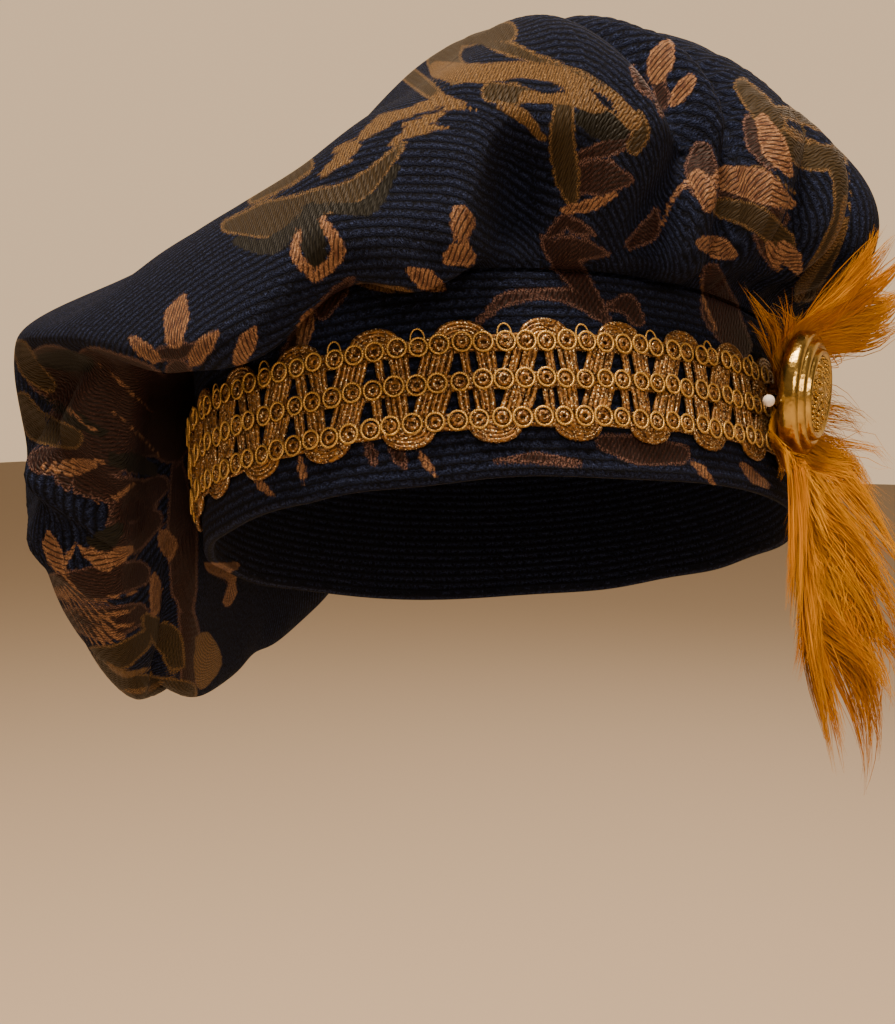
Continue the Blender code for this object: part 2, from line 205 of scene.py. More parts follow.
# %% [markdown]
# ## A sheet that can be bent into anything
# Cloth, band, cords and feathers are all thin things with a length and a width. Each starts
# as Blender's flat grid, whose points are then moved to where a function puts them. Cells can
# be left out, and points that meet are welded, so a grid closes into a ring or a tube.
# The hat is shaped in millimetres with its rim level. The last step leans it as it is worn.

# %% Bend a grid and turn it into a piece
MM = 0.001
# Points of a piece that are closer than this in millimetres are welded
WELD = 0.001
LEAN_BACK = 11.0
LEAN_RIGHT = 12.3
WORN_LEAN = Euler((math.radians(-LEAN_BACK), math.radians(-LEAN_RIGHT), 0.0), 'XYZ').to_matrix()


def bent_grid(columns, rows, place, keep=None, weld=WELD):
    """place(u, v) takes arrays of grid indices and returns points and a dict of attributes."""
    bm = bmesh.new()
    bmesh.ops.create_grid(bm, x_segments=columns, y_segments=rows, size=0.5)
    flat = np.array([vert.co for vert in bm.verts])
    u = np.rint((flat[:, 0] + 0.5) * columns).astype(int)
    v = np.rint((flat[:, 1] + 0.5) * rows).astype(int)
    if keep is not None:
        gone = [f for f in bm.faces if not keep(*[
            int((c + 0.5) * n) for c, n in zip(f.calc_center_median(), (columns, rows))])]
        bmesh.ops.delete(bm, geom=gone, context='FACES_ONLY')
    points, attributes = place(u, v)
    for name, values in attributes.items():
        layer = bm.verts.layers.float_vector.new(name)
        for vert, value in zip(bm.verts, values):
            vert[layer] = value
    for vert, point in zip(bm.verts, points):
        vert.co = point
    loose = [vert for vert in bm.verts if not vert.link_faces]
    bmesh.ops.delete(bm, geom=loose, context='VERTS')
    bmesh.ops.remove_doubles(bm, verts=bm.verts, dist=weld)
    return bm


def add_piece(name, bm, material, slot, *nodes):
    """Lean a bmesh as the hat is worn, give it its material and let it ride on the hat."""
    bmesh.ops.transform(bm, matrix=(WORN_LEAN * MM).to_4x4(), verts=bm.verts)
    mesh = bpy.data.meshes.new(name)
    bm.to_mesh(mesh)
    bm.free()
    mesh.shade_smooth()
    mesh.materials.append(material)
    piece = bpy.data.objects.new(name, mesh)
    bpy.context.scene.collection.objects.link(piece)
    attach(piece, "root")
    if nodes:
        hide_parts(*nodes)
    print(name, "has", sum(len(p.vertices) - 2 for p in mesh.polygons), "triangles")
    return piece


print("the hat leans", LEAN_BACK, "degrees back and", LEAN_RIGHT, "to its right")

# %% [markdown]
# ## The form of the crown
# A gathered crown can be simulated, but a worn one has settled into folds that a simulation
# wouldn't find again. So its form is drawn as a pattern maker would take it off the hat: one
# section at each of a few azimuths, and a list of the folds that run over them. Azimuth 0 is
# the forehead and 90 the wearer's left.

# %% Sections and folds of the crown
HEAD_WIDTH = 156.0
HEAD_LENGTH = 198.0
BAND_WALL = 3.0
BAND_HEIGHT = 52.0
BAND_X = HEAD_WIDTH / 2 + BAND_WALL
BAND_Y = HEAD_LENGTH / 2 + BAND_WALL
GAP = 0.4
CROWN_TOP = 158.0

# azimuth, then distance from the rim's centre line and height over the rim where the cloth
# turns under, is lowest, swells out, nips in, folds over the lip, passes brow and dome
CROWN_SECTIONS = (
    (-160, 104, 58, 111, 54, 119, 60, 122, 68, 121, 79, 100, 108, 60, 135),
    (-128, 96, 42, 108, 24, 124, 30, 130, 52, 131, 78, 106, 109, 60, 133),
    (-98, 92, 18, 108, -16, 133, 0, 141, 40, 140, 79, 110, 106, 60, 130),
    (-76, 96, -7, 114, -34, 136, -12, 143, 36, 145, 79, 106, 103, 58, 124),
    (-60, 98, -2, 116, -26, 135, -2, 142, 44, 143, 77, 104, 97, 57, 118),
    (-49, 103, 24, 114, -2, 136, 22, 126, 54, 139, 69, 100, 89, 56, 114),
    (-30, 104, 50, 111, 48, 117, 47, 122, 50, 130, 55, 108, 78, 60, 108),
    (-10, 110, 50, 114, 43, 119, 37, 123, 34, 127, 40, 111, 73, 62, 107),
    (2, 108, 50, 113, 40, 118, 34, 122, 33, 127, 40, 111, 76, 61, 112),
    (11, 104, 51, 110, 48, 115, 47, 119, 48, 124, 55, 110, 84, 60, 118),
    (21, 104, 51, 110, 45, 115, 42, 119, 44, 123, 55, 110, 90, 60, 123),
    (27, 102, 52, 108, 49, 112, 48, 116, 52, 120, 62, 108, 96, 60, 126),
    (31, 97, 54, 97, 58, 96, 64, 100, 72, 112, 80, 104, 102, 60, 129),
    (40, 94, 52, 97, 54, 101, 62, 106, 72, 111, 84, 97, 110, 60, 133),
    (60, 90, 50, 98, 50, 106, 62, 110, 74, 110, 88, 94, 112, 62, 137),
    (80, 86, 54, 95, 55, 106, 63, 111, 76, 111, 89, 95, 114, 62, 141),
    (105, 88, 58, 98, 60, 110, 67, 115, 79, 113, 92, 94, 119, 62, 144),
    (135, 98, 62, 107, 66, 115, 74, 119, 86, 116, 98, 98, 122, 62, 144),
    (170, 106, 60, 111, 62, 117, 69, 120, 79, 118, 91, 100, 117, 60, 141),
)
STATIONS = 8

# from azimuth and station to azimuth and station, sideways bow, height, width in millimetres
MAIN_FOLDS = (
    (-31, 4.1, -47, 1.3, 4, -3, 5),
    (-36, 3.8, -46, 1.3, 3, 3, 5),
    (-50, 4.2, -46, 1.3, 5, -4, 5),
    (-56, 4.4, -47, 1.3, 5, 4, 6),
    (-58, 4.1, -48, 1.3, 5, -3, 5),
    (-62, 3.8, -50, 1.4, 5, 4, 7),
    (-46, 2.7, -52, 1.2, 0, -4, 6),
    (-57, 0.9, -84, 2.5, 0, -7, 5),
    (34, 6.9, 51, 5.0, 3, 5, 12),
    (43, 7.2, 60, 4.6, 4, -15, 8.5),
    (60, 4.6, 50, 2.2, 0, -10, 7),
    (58, 7.0, 61, 3.6, 3, 4, 8),
    (74, 7.0, 67, 2.0, -3, -14, 7.5),
    (88, 6.2, 78, 1.6, -2, -9, 7),
    (98, 6.0, 93, 1.6, 0, -9, 7),
    (116, 6.0, 113, 1.4, 0, -8, 8),
    (134, 6.0, 131, 1.4, 0, -8, 8),
    (152, 6.0, 150, 1.4, 0, -8, 8),
    (170, 6.0, 168, 1.4, 0, -8, 8),
    (-172, 6.0, -174, 1.4, 0, -7, 8),
    (-150, 6.0, -150, 2.4, 0, -6, 8),
)
# Small creases that only show near by: tucks at the band and dents in the slack of the bag
SMALL_FOLDS = (
    (36, 0.2, 38, 2.6, 0, -1.8, 3), (45, 0.2, 46, 2.8, 0, -2.0, 3),
    (53, 0.2, 53, 2.4, 0, -2.0, 3), (66, 0.2, 65, 2.2, 0, -1.8, 3),
    (73, 0.2, 72, 2.4, 0, -1.8, 3), (85, 0.2, 83, 2.6, 0, -2.0, 3),
    (102, 0.2, 101, 2.6, 0, -2.0, 3), (125, 0.2, 123, 2.6, 0, -2.0, 3),
    (143, 0.2, 141, 2.6, 0, -2.0, 3), (161, 0.2, 159, 2.6, 0, -2.0, 3),
    (179, 0.2, 177, 2.6, 0, -2.0, 3), (-161, 0.2, -163, 2.6, 0, -2.0, 3),
    (-70, 3.4, -63, 1.6, 3, -2.0, 5), (-74, 2.2, -66, 1.3, 2, -1.8, 4),
    (-90, 3.6, -80, 2.0, 2, -2.2, 7), (-104, 3.0, -96, 1.6, 2, -2.2, 7),
    (-120, 3.6, -118, 1.8, 2, -2.4, 7), (-38, 5.4, -22, 6.2, 0, -1.2, 7),
    (6, 5.6, 24, 5.2, 3, -1.4, 7), (14, 6.8, 26, 5.6, 2, -1.2, 6),
    (-14, 5.0, 4, 4.7, 2, 1.2, 6), (22, 4.6, 26, 3.2, 0, -1.6, 4),
    (42, 5.8, 36, 4.4, 3, 2.0, 6), (52, 6.4, 56, 4.6, 0, -1.6, 4),
    (64, 6.2, 66, 4.0, 0, 2.0, 5), (82, 6.2, 80, 3.6, 0, 1.8, 5),
)
FOLD_SAMPLES = 25
# A fold starts and ends with part of its height, and fades out this many widths away
FOLD_ENDS = 0.12
FOLD_EASE = 0.7
FOLD_REACH = 3
# How many stations the folds take to fade in at the band, and out at the middle
FADE_AT_BAND = 0.5
FADE_AT_TOP = 0.4


def polar(azimuth, radius, height):
    turn = np.radians(azimuth)
    return np.stack([radius * np.sin(turn), -radius * np.cos(turn), height + 0.0 * turn], axis=-1)


def ellipse_radius(azimuth, half_x, half_y):
    turn = np.radians(azimuth)
    return 1.0 / np.sqrt((np.sin(turn) / half_x) ** 2 + (np.cos(turn) / half_y) ** 2)


def hermite(start, end, start_slope, end_slope, t):
    """The cubic from start to end over t in 0 to 1, slopes given over that whole stretch."""
    ease = 3 * t ** 2 - 2 * t ** 3
    lift_start = t ** 3 - 2 * t ** 2 + t
    lift_end = t ** 3 - t ** 2
    return (1 - ease) * start + lift_start * start_slope + ease * end + lift_end * end_slope


def way_along(points):
    """How far it is along the points to each of them."""
    return np.concatenate([[0.0], np.cumsum(np.linalg.norm(np.diff(points, axis=0), axis=1))])


print(len(CROWN_SECTIONS), "sections,", len(MAIN_FOLDS) + len(SMALL_FOLDS), "folds")

# %% Work out the crown's surface
def crown_profile(azimuth):
    """The station points (n, STATIONS + 1, 2) of the sections at these azimuths."""
    rows = np.array(CROWN_SECTIONS, dtype=float)
    angles = np.concatenate([rows[-2:, 0] - 360.0, rows[:, 0], rows[:2, 0] + 360.0])
    values = np.concatenate([rows[-2:, 1:], rows[:, 1:], rows[:2, 1:]])
    span = np.diff(angles)[:, None]
    rate = np.diff(values, axis=0) / span
    slope = np.zeros_like(values)
    slope[1:-1] = (rate[:-1] * span[1:] + rate[1:] * span[:-1]) / (span[1:] + span[:-1])
    turned = (np.asarray(azimuth, dtype=float) + 180.0) % 360.0 - 180.0
    at = np.clip(np.searchsorted(angles, turned, side="right") - 1, 1, len(angles) - 3)
    t = ((turned - angles[at]) / span[at, 0])[:, None]
    here, after = slope[at] * span[at], slope[at + 1] * span[at]
    between = hermite(values[at], values[at + 1], here, after, t)
    points = np.zeros((len(turned), STATIONS + 1, 2))
    points[:, 0, 0] = ellipse_radius(turned, BAND_X, BAND_Y)
    points[:, 0, 1] = BAND_HEIGHT + GAP
    points[:, 1:-1] = between.reshape(len(turned), STATIONS - 1, 2)
    points[:, -1] = (0.0, CROWN_TOP)
    return points


def crown_form(azimuth, station):
    """The smooth form (n, m, 2) of the sections through their stations, without folds."""
    points = crown_profile(azimuth)
    step = np.sqrt(np.linalg.norm(np.diff(points, axis=1), axis=2))[:, :, None]
    rate = np.diff(points, axis=1) / step
    slope = np.zeros_like(points)
    before, after = step[:, :-1], step[:, 1:]
    slope[:, 1:-1] = (rate[:, :-1] * after + rate[:, 1:] * before) / (after + before)
    slope[:, 0] = rate[:, 0]
    slope[:, -1, 0] = rate[:, -1, 0]
    station = np.asarray(station, dtype=float)
    at = np.minimum(station.astype(int), STATIONS - 1)
    t = (station - at)[None, :, None]
    span = step[:, at]
    slope_here, slope_next = slope[:, at] * span, slope[:, at + 1] * span
    return hermite(points[:, at], points[:, at + 1], slope_here, slope_next, t)


def fold_path(fold):
    """Points along a fold on the smooth form, and how much of the fold is there."""
    from_az, from_station, to_az, to_station, bow = fold[:5]
    along = np.linspace(0.0, 1.0, FOLD_SAMPLES)
    azimuth = from_az + (to_az - from_az) * along + bow * 4.0 * along * (1.0 - along)
    station = from_station + (to_station - from_station) * along
    form = crown_form(azimuth, station)[np.arange(FOLD_SAMPLES), np.arange(FOLD_SAMPLES)]
    rise = FOLD_ENDS + (1 - 2 * FOLD_ENDS) * along
    strength = np.sin(math.pi * rise) ** FOLD_EASE
    return polar(azimuth, form[:, 0], form[:, 1]), strength


def crown_surface(azimuth, station, folds):
    """The crown (n, m, 3): the form, moved along each section's normal by the folds."""
    form = crown_form(azimuth, station)
    spread = np.repeat(azimuth[:, None], len(station), axis=1)
    points = polar(spread, form[..., 0], form[..., 1])
    lift = np.zeros(form.shape[:2])
    for fold in folds:
        path, strength = fold_path(fold)
        height, width = fold[5:]
        reach = FOLD_REACH * width
        low, high = path.min(axis=0) - reach, path.max(axis=0) + reach
        near = np.all((points > low) & (points < high), axis=2)
        distance = np.linalg.norm(points[near][:, None, :] - path[None], axis=2)
        nearest = distance.argmin(axis=1)
        lift[near] += height * strength[nearest] * np.exp(-(distance.min(axis=1) / width) ** 2)
    ends = np.clip(station / FADE_AT_BAND, 0.0, 1.0)
    ends = ends * np.clip((STATIONS - station) / FADE_AT_TOP, 0.0, 1.0)
    slope = np.gradient(form, axis=1)
    normal = np.stack([slope[..., 1], -slope[..., 0]], axis=-1)
    normal /= np.maximum(np.linalg.norm(normal, axis=2, keepdims=True), 1e-9)
    folded = form + normal * (lift * ends)[..., None]
    return polar(spread, folded[..., 0], folded[..., 1])


BAG_AZIMUTH = -76.0
bag_section = crown_profile([BAG_AZIMUTH])[0]
print("the bag reaches", bag_section[:, 0].max(), "mm to the wearer's right")

# %% [markdown]
# ## The crown's cloth
# The flat cloth is a round. A point of it lies at a distance from the middle, which is the
# length of the section from the dome's centre, and in a direction, which is the azimuth. Those
# two give every point its place on the flat cloth in millimetres, so that ribs and weave keep
# their size while the folds bend them. The ribs run level across the front.

# %% Make the crown
CROWN_COLUMNS = 520
CROWN_ROWS = 176
SECTION_SAMPLES = 401
# Where the columns start and end, well out of the picture
SEAM_AZIMUTH = -160.0
RIB_TURN = -8.0
# The weave is measured over these broad folds alone, as the small ones would make it swim
BROAD_FOLDS = MAIN_FOLDS[8:15]

azimuths = np.linspace(SEAM_AZIMUTH, SEAM_AZIMUTH + 360.0, CROWN_COLUMNS + 1)
fine = np.linspace(0.0, STATIONS, SECTION_SAMPLES)
rough = crown_form(azimuths[::8], fine)
mean_steps = np.linalg.norm(np.diff(rough, axis=1), axis=2).mean(axis=0)
lengths = np.concatenate([[0.0], np.cumsum(mean_steps)])
stations = np.interp(np.linspace(0.0, lengths[-1], CROWN_ROWS + 1), lengths, fine)
crown_points = crown_surface(azimuths, stations, MAIN_FOLDS + SMALL_FOLDS)
smooth_points = crown_surface(azimuths, stations, BROAD_FOLDS)
row_steps = np.linalg.norm(np.diff(smooth_points, axis=1), axis=2)
from_middle = np.pad(np.cumsum(row_steps[:, ::-1], axis=1)[:, ::-1], ((0, 0), (0, 1)))


def place_crown(u, v):
    reach = from_middle[u, v]
    turn = np.radians(azimuths[u] + RIB_TURN)
    cloth = np.stack([reach * np.sin(turn), reach * np.cos(turn), 0.0 * reach], axis=1)
    return crown_points[u, v], {"cloth": cloth}


crown_bm = bent_grid(CROWN_COLUMNS, CROWN_ROWS, place_crown)
placeholder = bpy.data.materials.new("not yet woven")
crown = add_piece("crown_cloth", crown_bm, placeholder, "tapestry", "crown")

# %% [markdown]
# ## The woven pattern
# The cloth is a tapestry: navy chenille ribs for the ground, and scrolls and leaves woven in
# satin. A leaf is drawn as a brush would draw it, as a stroke through a few points with a
# half-width at its start, middle and end. The strokes on the front are given in pixels of the
# picture, so a point of cloth that the camera sees is measured there. For a point out of its
# sight the stroke is laid on the cloth where the camera's rays meet it. Each point then knows
# how far it is from the nearest stroke of each colour, in millimetres, with a minus inside it,
# and the material turns that into crisp edges.

# %% The strokes seen from the front
# colour, half-widths in pixels, then the points (x, y) in pixels
FRONT_STROKES = (
    # The great leaf over the lip, with its dark edge and the outlines above it
    ("olive", (8, 20, 15), (228, 226), (262, 221), (308, 207)),
    ("olive", (15, 13, 4), (308, 205), (356, 190), (404, 143)),
    ("moss", (6, 9, 6), (238, 241), (268, 247), (300, 222)),
    ("moss", (5, 9, 4), (328, 207), (366, 208), (397, 166)),
    ("moss", (12, 14, 9), (312, 214), (312, 238), (317, 262)),
    ("copper", (3, 6, 6), (299, 230), (295, 252), (316, 278)),
    ("copper", (6, 7.5, 5), (316, 277), (338, 254), (323, 220)),
    ("olive", (5, 8, 4), (252, 200), (276, 186), (300, 176)),
    ("olive", (6, 11, 9), (268, 188), (288, 176), (306, 165)),
    ("olive", (6, 11, 7), (306, 158), (320, 147), (332, 138)),
    ("olive", (9, 14, 12), (336, 126), (362, 106), (390, 76)),
    ("gold", (2, 3, 2), (356, 122), (374, 104), (386, 86)),
    ("gold", (2, 4, 2), (274, 184), (290, 172), (304, 166)),
    ("gold", (3, 6, 5), (320, 176), (340, 160), (356, 146)),
    ("gold", (3, 4, 3), (334, 152), (346, 146), (356, 142)),
    ("gold", (4, 8, 4), (362, 136), (384, 121), (404, 112)),
    ("gold", (3, 6, 2), (398, 117), (426, 106), (450, 102)),
    ("gold", (3, 5, 2), (404, 125), (424, 121), (448, 110)),
    ("gold", (2, 6, 2), (388, 145), (414, 131), (448, 127)),
    ("gold", (1, 2.5, 1), (332, 168), (344, 164), (354, 160)),
    ("olive", (9, 9, 7), (406, 72), (424, 86), (442, 100)),
    ("gold", (6, 6, 2), (438, 97), (456, 104), (476, 110)),
    # Small leaves along the lip
    ("copper", (9, 13, 2), (174, 340), (176, 320), (184, 294)),
    ("copper", (5, 8, 6), (133, 340), (144, 350), (155, 358)),
    ("copper", (8, 9, 3), (195, 359), (205, 346), (217, 332)),
    ("brown", (8, 10, 7), (162, 354), (180, 352), (194, 348)),
    ("copper", (8, 10, 2), (240, 359), (247, 343), (256, 327)),
    ("copper", (6, 9, 3), (302, 343), (306, 326), (311, 310)),
    ("brown", (4, 7, 5), (282, 356), (292, 344), (300, 330)),
    ("brown", (4, 9, 9), (352, 279), (338, 294), (322, 312)),
    ("copper", (10, 13, 9), (460, 214), (463, 223), (462, 232)),
    ("copper", (8, 12, 9), (450, 258), (460, 253), (468, 258)),
    ("copper", (5, 11, 5), (411, 271), (426, 280), (441, 287)),
    ("gold", (2, 4, 2), (358, 284), (386, 289), (412, 291)),
    # The scroll over the pillow
    ("olive", (8, 13, 12), (464, 38), (486, 32), (506, 32)),
    ("olive", (7, 9, 7), (416, 54), (446, 42), (474, 40)),
    ("olive", (12, 18, 13), (452, 44), (444, 60), (456, 72)),
    ("olive", (6, 8, 6), (478, 42), (510, 49), (542, 62)),
    ("gold", (9, 10, 9), (438, 70), (480, 73), (520, 69)),
    ("gold", (9, 9, 8), (520, 69), (560, 76), (596, 94)),
    ("gold", (8, 9, 9), (596, 94), (616, 105), (634, 122)),
    ("olive", (5, 6, 4), (538, 58), (576, 74), (622, 100)),
    ("olive", (9, 10, 9), (636, 118), (641, 132), (634, 147)),
    ("olive", (12, 12, 8), (492, 92), (508, 94), (532, 94)),
    ("gold", (6, 8, 10), (524, 97), (560, 96), (598, 104)),
    ("gold", (4, 7, 4), (498, 104), (522, 116), (543, 139)),
    ("olive", (11, 14, 14), (564, 106), (562, 140), (567, 178)),
    ("olive", (12, 10, 5), (568, 176), (570, 192), (574, 206)),
    # Partly painted shade: this dark moss lies where the olive beside the trunk is in shade
    ("moss", (10, 17, 10), (584, 118), (602, 124), (620, 130)),
    ("ground", (3, 8, 3), (466, 54), (479, 52), (492, 54)),
    ("ground", (2, 6, 2), (521, 84), (542, 87), (563, 90)),
    ("ground", (1, 4.5, 1), (590, 88), (606, 102), (620, 117)),
    ("ground", (0.5, 1.5, 0.5), (482, 62), (512, 60), (546, 64)),
    # Its brown tail down to the band
    ("brown", (5, 10, 8), (580, 157), (604, 149), (634, 138)),
    ("brown", (6, 7, 8), (584, 154), (574, 162), (576, 172)),
    ("brown", (13, 20, 5), (574, 182), (594, 178), (630, 180)),
    ("copper", (4, 7, 2), (564, 210), (588, 206), (618, 193)),
    ("brown", (6, 8, 4), (566, 216), (560, 226), (546, 238)),
    ("brown", (5, 9, 3), (560, 218), (574, 226), (594, 234)),
    ("brown", (3, 11, 13), (542, 236), (554, 250), (566, 262)),
    ("brown", (15, 11, 3), (564, 250), (584, 250), (608, 254)),
    ("brown", (15, 11, 4), (564, 260), (580, 282), (606, 314)),
    # The sprig and leaves on the gathers
    ("copper", (10, 14, 8), (657, 74), (661, 60), (667, 47)),
    ("copper", (3, 9, 7), (671, 105), (683, 89), (690, 80)),
    ("brown", (4, 7, 3), (633, 68), (642, 84), (651, 98)),
    ("brown", (8, 9, 4), (658, 82), (662, 96), (662, 114)),
    ("brown", (12, 17, 12), (702, 152), (701, 168), (700, 186)),
    ("copper", (9, 11, 7), (697, 178), (706, 192), (708, 206)),
    ("copper", (2.5, 3, 3), (662, 226), (672, 200), (690, 178)),
    ("brown", (4, 12, 6), (656, 210), (652, 226), (630, 245)),
    ("copper", (7, 12, 5), (703, 243), (716, 247), (733, 255)),
    ("olive", (9, 13, 13), (742, 86), (756, 102), (774, 122)),
    ("brown", (10, 17, 12), (752, 122), (760, 138), (772, 158)),
    ("copper", (7, 14, 4), (762, 120), (774, 146), (790, 174)),
    ("copper", (13, 17, 6), (726, 178), (754, 184), (790, 204)),
    ("brown", (6, 9, 8), (722, 194), (752, 202), (782, 218)),
    ("gold", (2, 2.5, 2), (722, 169), (758, 168), (795, 193)),
    ("olive", (11, 14, 12), (722, 208), (752, 216), (784, 242)),
    ("copper", (5, 10, 4), (783, 245), (792, 258), (799, 273)),
    ("copper", (4, 7, 3), (769, 244), (774, 256), (778, 269)),
    ("brown", (6, 9, 6), (758, 236), (768, 250), (774, 264)),
    ("olive", (5, 8, 5), (772, 109), (796, 115), (824, 128)),
    ("olive", (12, 16, 13), (788, 138), (806, 154), (834, 158)),
    ("gold", (2, 3, 2), (784, 128), (798, 138), (812, 143)),
    ("olive", (11, 9, 9), (836, 158), (842, 190), (840, 226)),
    ("olive", (9, 11, 12), (840, 222), (828, 252), (806, 290)),
    ("gold", (3, 5, 3), (846, 198), (838, 236), (822, 262)),
    ("gold", (4, 6, 5), (820, 262), (806, 282), (798, 298)),
    ("gold", (1, 3, 2), (822, 293), (836, 282), (847, 267)),
    # The bag that hangs at the wearer's right
    ("brown", (26, 34, 26), (50, 370), (100, 398), (148, 432)),
    ("brown", (24, 26, 18), (94, 370), (140, 388), (178, 410)),
    ("brown", (14, 24, 20), (178, 372), (182, 400), (170, 444)),
    ("brown", (14, 16, 12), (58, 424), (90, 442), (132, 462)),
    ("olive", (9, 12, 8), (20, 348), (32, 370), (50, 386)),
    ("olive", (9, 16, 12), (22, 400), (36, 424), (72, 438)),
    ("moss", (7, 11, 8), (44, 360), (64, 360), (86, 364)),
    ("moss", (3, 8, 5), (42, 396), (74, 418), (106, 436)),
    ("copper", (1.5, 3, 2), (34, 386), (66, 408), (98, 433)),
    ("copper", (1, 2, 2), (104, 404), (140, 436), (162, 458)),
    ("copper", (1, 2, 1), (98, 362), (120, 382), (152, 412)),
    ("brown", (14, 18, 10), (40, 460), (72, 462), (116, 466)),
    ("copper", (5, 9, 3), (42, 468), (66, 468), (104, 462)),
    ("gold", (2, 6, 2), (46, 470), (60, 468), (76, 463)),
    ("brown", (8, 13, 8), (64, 483), (100, 488), (138, 486)),
    ("copper", (2, 4, 2), (84, 500), (110, 500), (134, 484)),
    ("moss", (6, 10, 7), (112, 460), (132, 462), (152, 470)),
    ("brown", (10, 17, 12), (114, 522), (136, 502), (158, 486)),
    ("brown", (8, 14, 12), (108, 556), (132, 540), (152, 520)),
    ("moss", (5, 11, 8), (86, 542), (104, 541), (118, 530)),
    ("copper", (6, 10, 5), (47, 536), (54, 554), (61, 572)),
    ("copper", (3, 6, 3), (59, 563), (68, 552), (79, 544)),
    ("copper", (6, 9, 6), (86, 549), (98, 559), (106, 568)),
    ("copper", (5, 9, 4), (106, 566), (118, 556), (131, 549)),
    ("brown", (12, 19, 14), (56, 584), (92, 584), (138, 574)),
    ("copper", (3, 5, 3), (46, 587), (62, 592), (82, 583)),
    ("copper", (2, 3, 2), (60, 600), (92, 601), (138, 592)),
    ("brown", (10, 18, 12), (70, 617), (104, 624), (138, 614)),
    ("copper", (2, 4, 2), (68, 612), (104, 616), (140, 608)),
    ("copper", (2, 4, 2), (78, 628), (106, 630), (138, 622)),
    ("copper", (2, 4, 2), (84, 642), (104, 642), (126, 636)),
    ("copper", (6, 10, 6), (163, 533), (168, 544), (172, 556)),
    ("copper", (4, 8, 4), (154, 576), (157, 596), (154, 614)),
    ("brown", (8, 16, 14), (178, 470), (182, 530), (184, 590)),
    ("brown", (8, 12, 8), (184, 600), (190, 640), (188, 690)),
    ("olive", (10, 14, 10), (96, 655), (118, 657), (144, 640)),
    ("olive", (8, 15, 10), (148, 620), (168, 640), (176, 664)),
    ("olive", (10, 17, 12), (104, 674), (134, 688), (186, 692)),
    ("gold", (2, 4, 2), (104, 662), (124, 674), (152, 668)),
    ("gold", (2, 3.5, 2), (118, 691), (146, 690), (174, 674)),
    ("copper", (4, 7, 4), (202, 566), (218, 569), (236, 566)),
    ("copper", (3, 8, 3), (234, 584), (230, 594), (226, 606)),
    ("gold", (9, 15, 6), (204, 640), (208, 656), (202, 684)),
    # What shows of the headband over and under the braid
    ("brown", (4, 8, 6), (478, 322), (504, 300), (540, 294)),
    ("brown", (6, 9, 6), (540, 294), (574, 298), (606, 320)),
    ("brown", (5, 9, 6), (566, 262), (582, 280), (598, 304)),
    ("brown", (4, 11, 8), (608, 308), (626, 304), (638, 320)),
    ("brown", (10, 20, 13), (712, 272), (720, 310), (740, 346)),
    ("copper", (1, 2, 2), (700, 274), (704, 300), (716, 330)),
    ("copper", (2, 5, 2), (300, 456), (302, 470), (304, 484)),
    ("copper", (2, 5, 2), (254, 472), (260, 484), (274, 496)),
    ("brown", (3, 7, 3), (366, 442), (371, 452), (374, 466)),
    ("brown", (4, 9, 4), (390, 444), (398, 454), (404, 466)),
    ("copper", (2, 5, 2), (418, 450), (426, 463), (436, 476)),
    ("brown", (3, 7, 4), (494, 462), (536, 458), (580, 464)),
    ("brown", (9, 16, 11), (604, 442), (640, 450), (680, 454)),
    ("copper", (2, 5, 2), (690, 460), (702, 470), (714, 484)),
    ("copper", (3, 6, 3), (742, 464), (752, 475), (768, 486)),
)
print(len(FRONT_STROKES), "strokes on the front")

# %% The sprays on the rest of the cloth
# One spray of the same scroll and leaves in millimetres on the flat cloth
SPRAY = (
    ("olive", (3, 5, 3), (-34, -22), (-18, -34), (6, -26), (14, -4)),
    ("olive", (3, 4, 2), (14, -4), (10, 14), (-8, 16), (-12, 2)),
    ("gold", (1, 1.5, 1), (-30, -16), (-14, -27), (2, -20), (8, -4)),
    ("gold", (2, 3, 1), (14, -6), (30, 4), (38, 22)),
    ("olive", (3, 8, 2), (-6, 26), (6, 38), (24, 44)),
    ("brown", (4, 8, 2), (24, -14), (36, -22), (44, -38)),
    ("brown", (3, 7, 2), (-22, 4), (-36, 14), (-44, 30)),
    ("copper", (2, 4, 1), (-4, 4), (2, 10), (4, 20)),
    ("copper", (2, 4, 1), (34, 26), (42, 34), (44, 46)),
    ("copper", (2, 3.5, 1), (40, 14), (50, 16), (58, 12)),
    ("copper", (2, 4, 1), (-38, -26), (-48, -22), (-56, -28)),
    ("copper", (2, 3.5, 1), (-26, -36), (-30, -46), (-40, -50)),
    ("copper", (2, 4, 1), (-16, 34), (-22, 44), (-18, 54)),
    ("ground", (1, 2, 1), (-16, -32), (-8, -31), (0, -27)),
)
# Where the sprays lie on the flat cloth in millimetres, and how far each is turned
SPRAY_PLACES = (
    (-120, -60, 20), (-40, -150, 200), (60, -90, 320), (60, -200, 90), (-150, -170, 140),
    (-70, -250, 20), (140, -150, 250), (-215, -90, 280), (-20, -60, 120), (150, -40, 60),
    (-90, 25, 60), (0, 20, 150), (90, 15, 290), (-40, 85, 350), (-225, 0, 100), (-180, 60, 230),
    (-265, 55, 160), (-155, -20, 330), (-290, -60, 200),
)
COLOURS = ("brown", "copper", "olive", "moss", "gold", "ground")
# The greatest distance that a point stores, and how far round a stroke it is measured
FAR = 30.0
STROKE_REACH = 24.0
# Steps along a stroke, on the picture in pixels and on the flat cloth in millimetres
PIXEL_STEP = 2.5
CLOTH_STEP = 1.2
# Cloth this close behind other cloth still counts as seen
SEEN_SLACK = 1.5
# Where a ray meets the cloth flatter than this, the stroke isn't laid there
GRAZING = 0.1


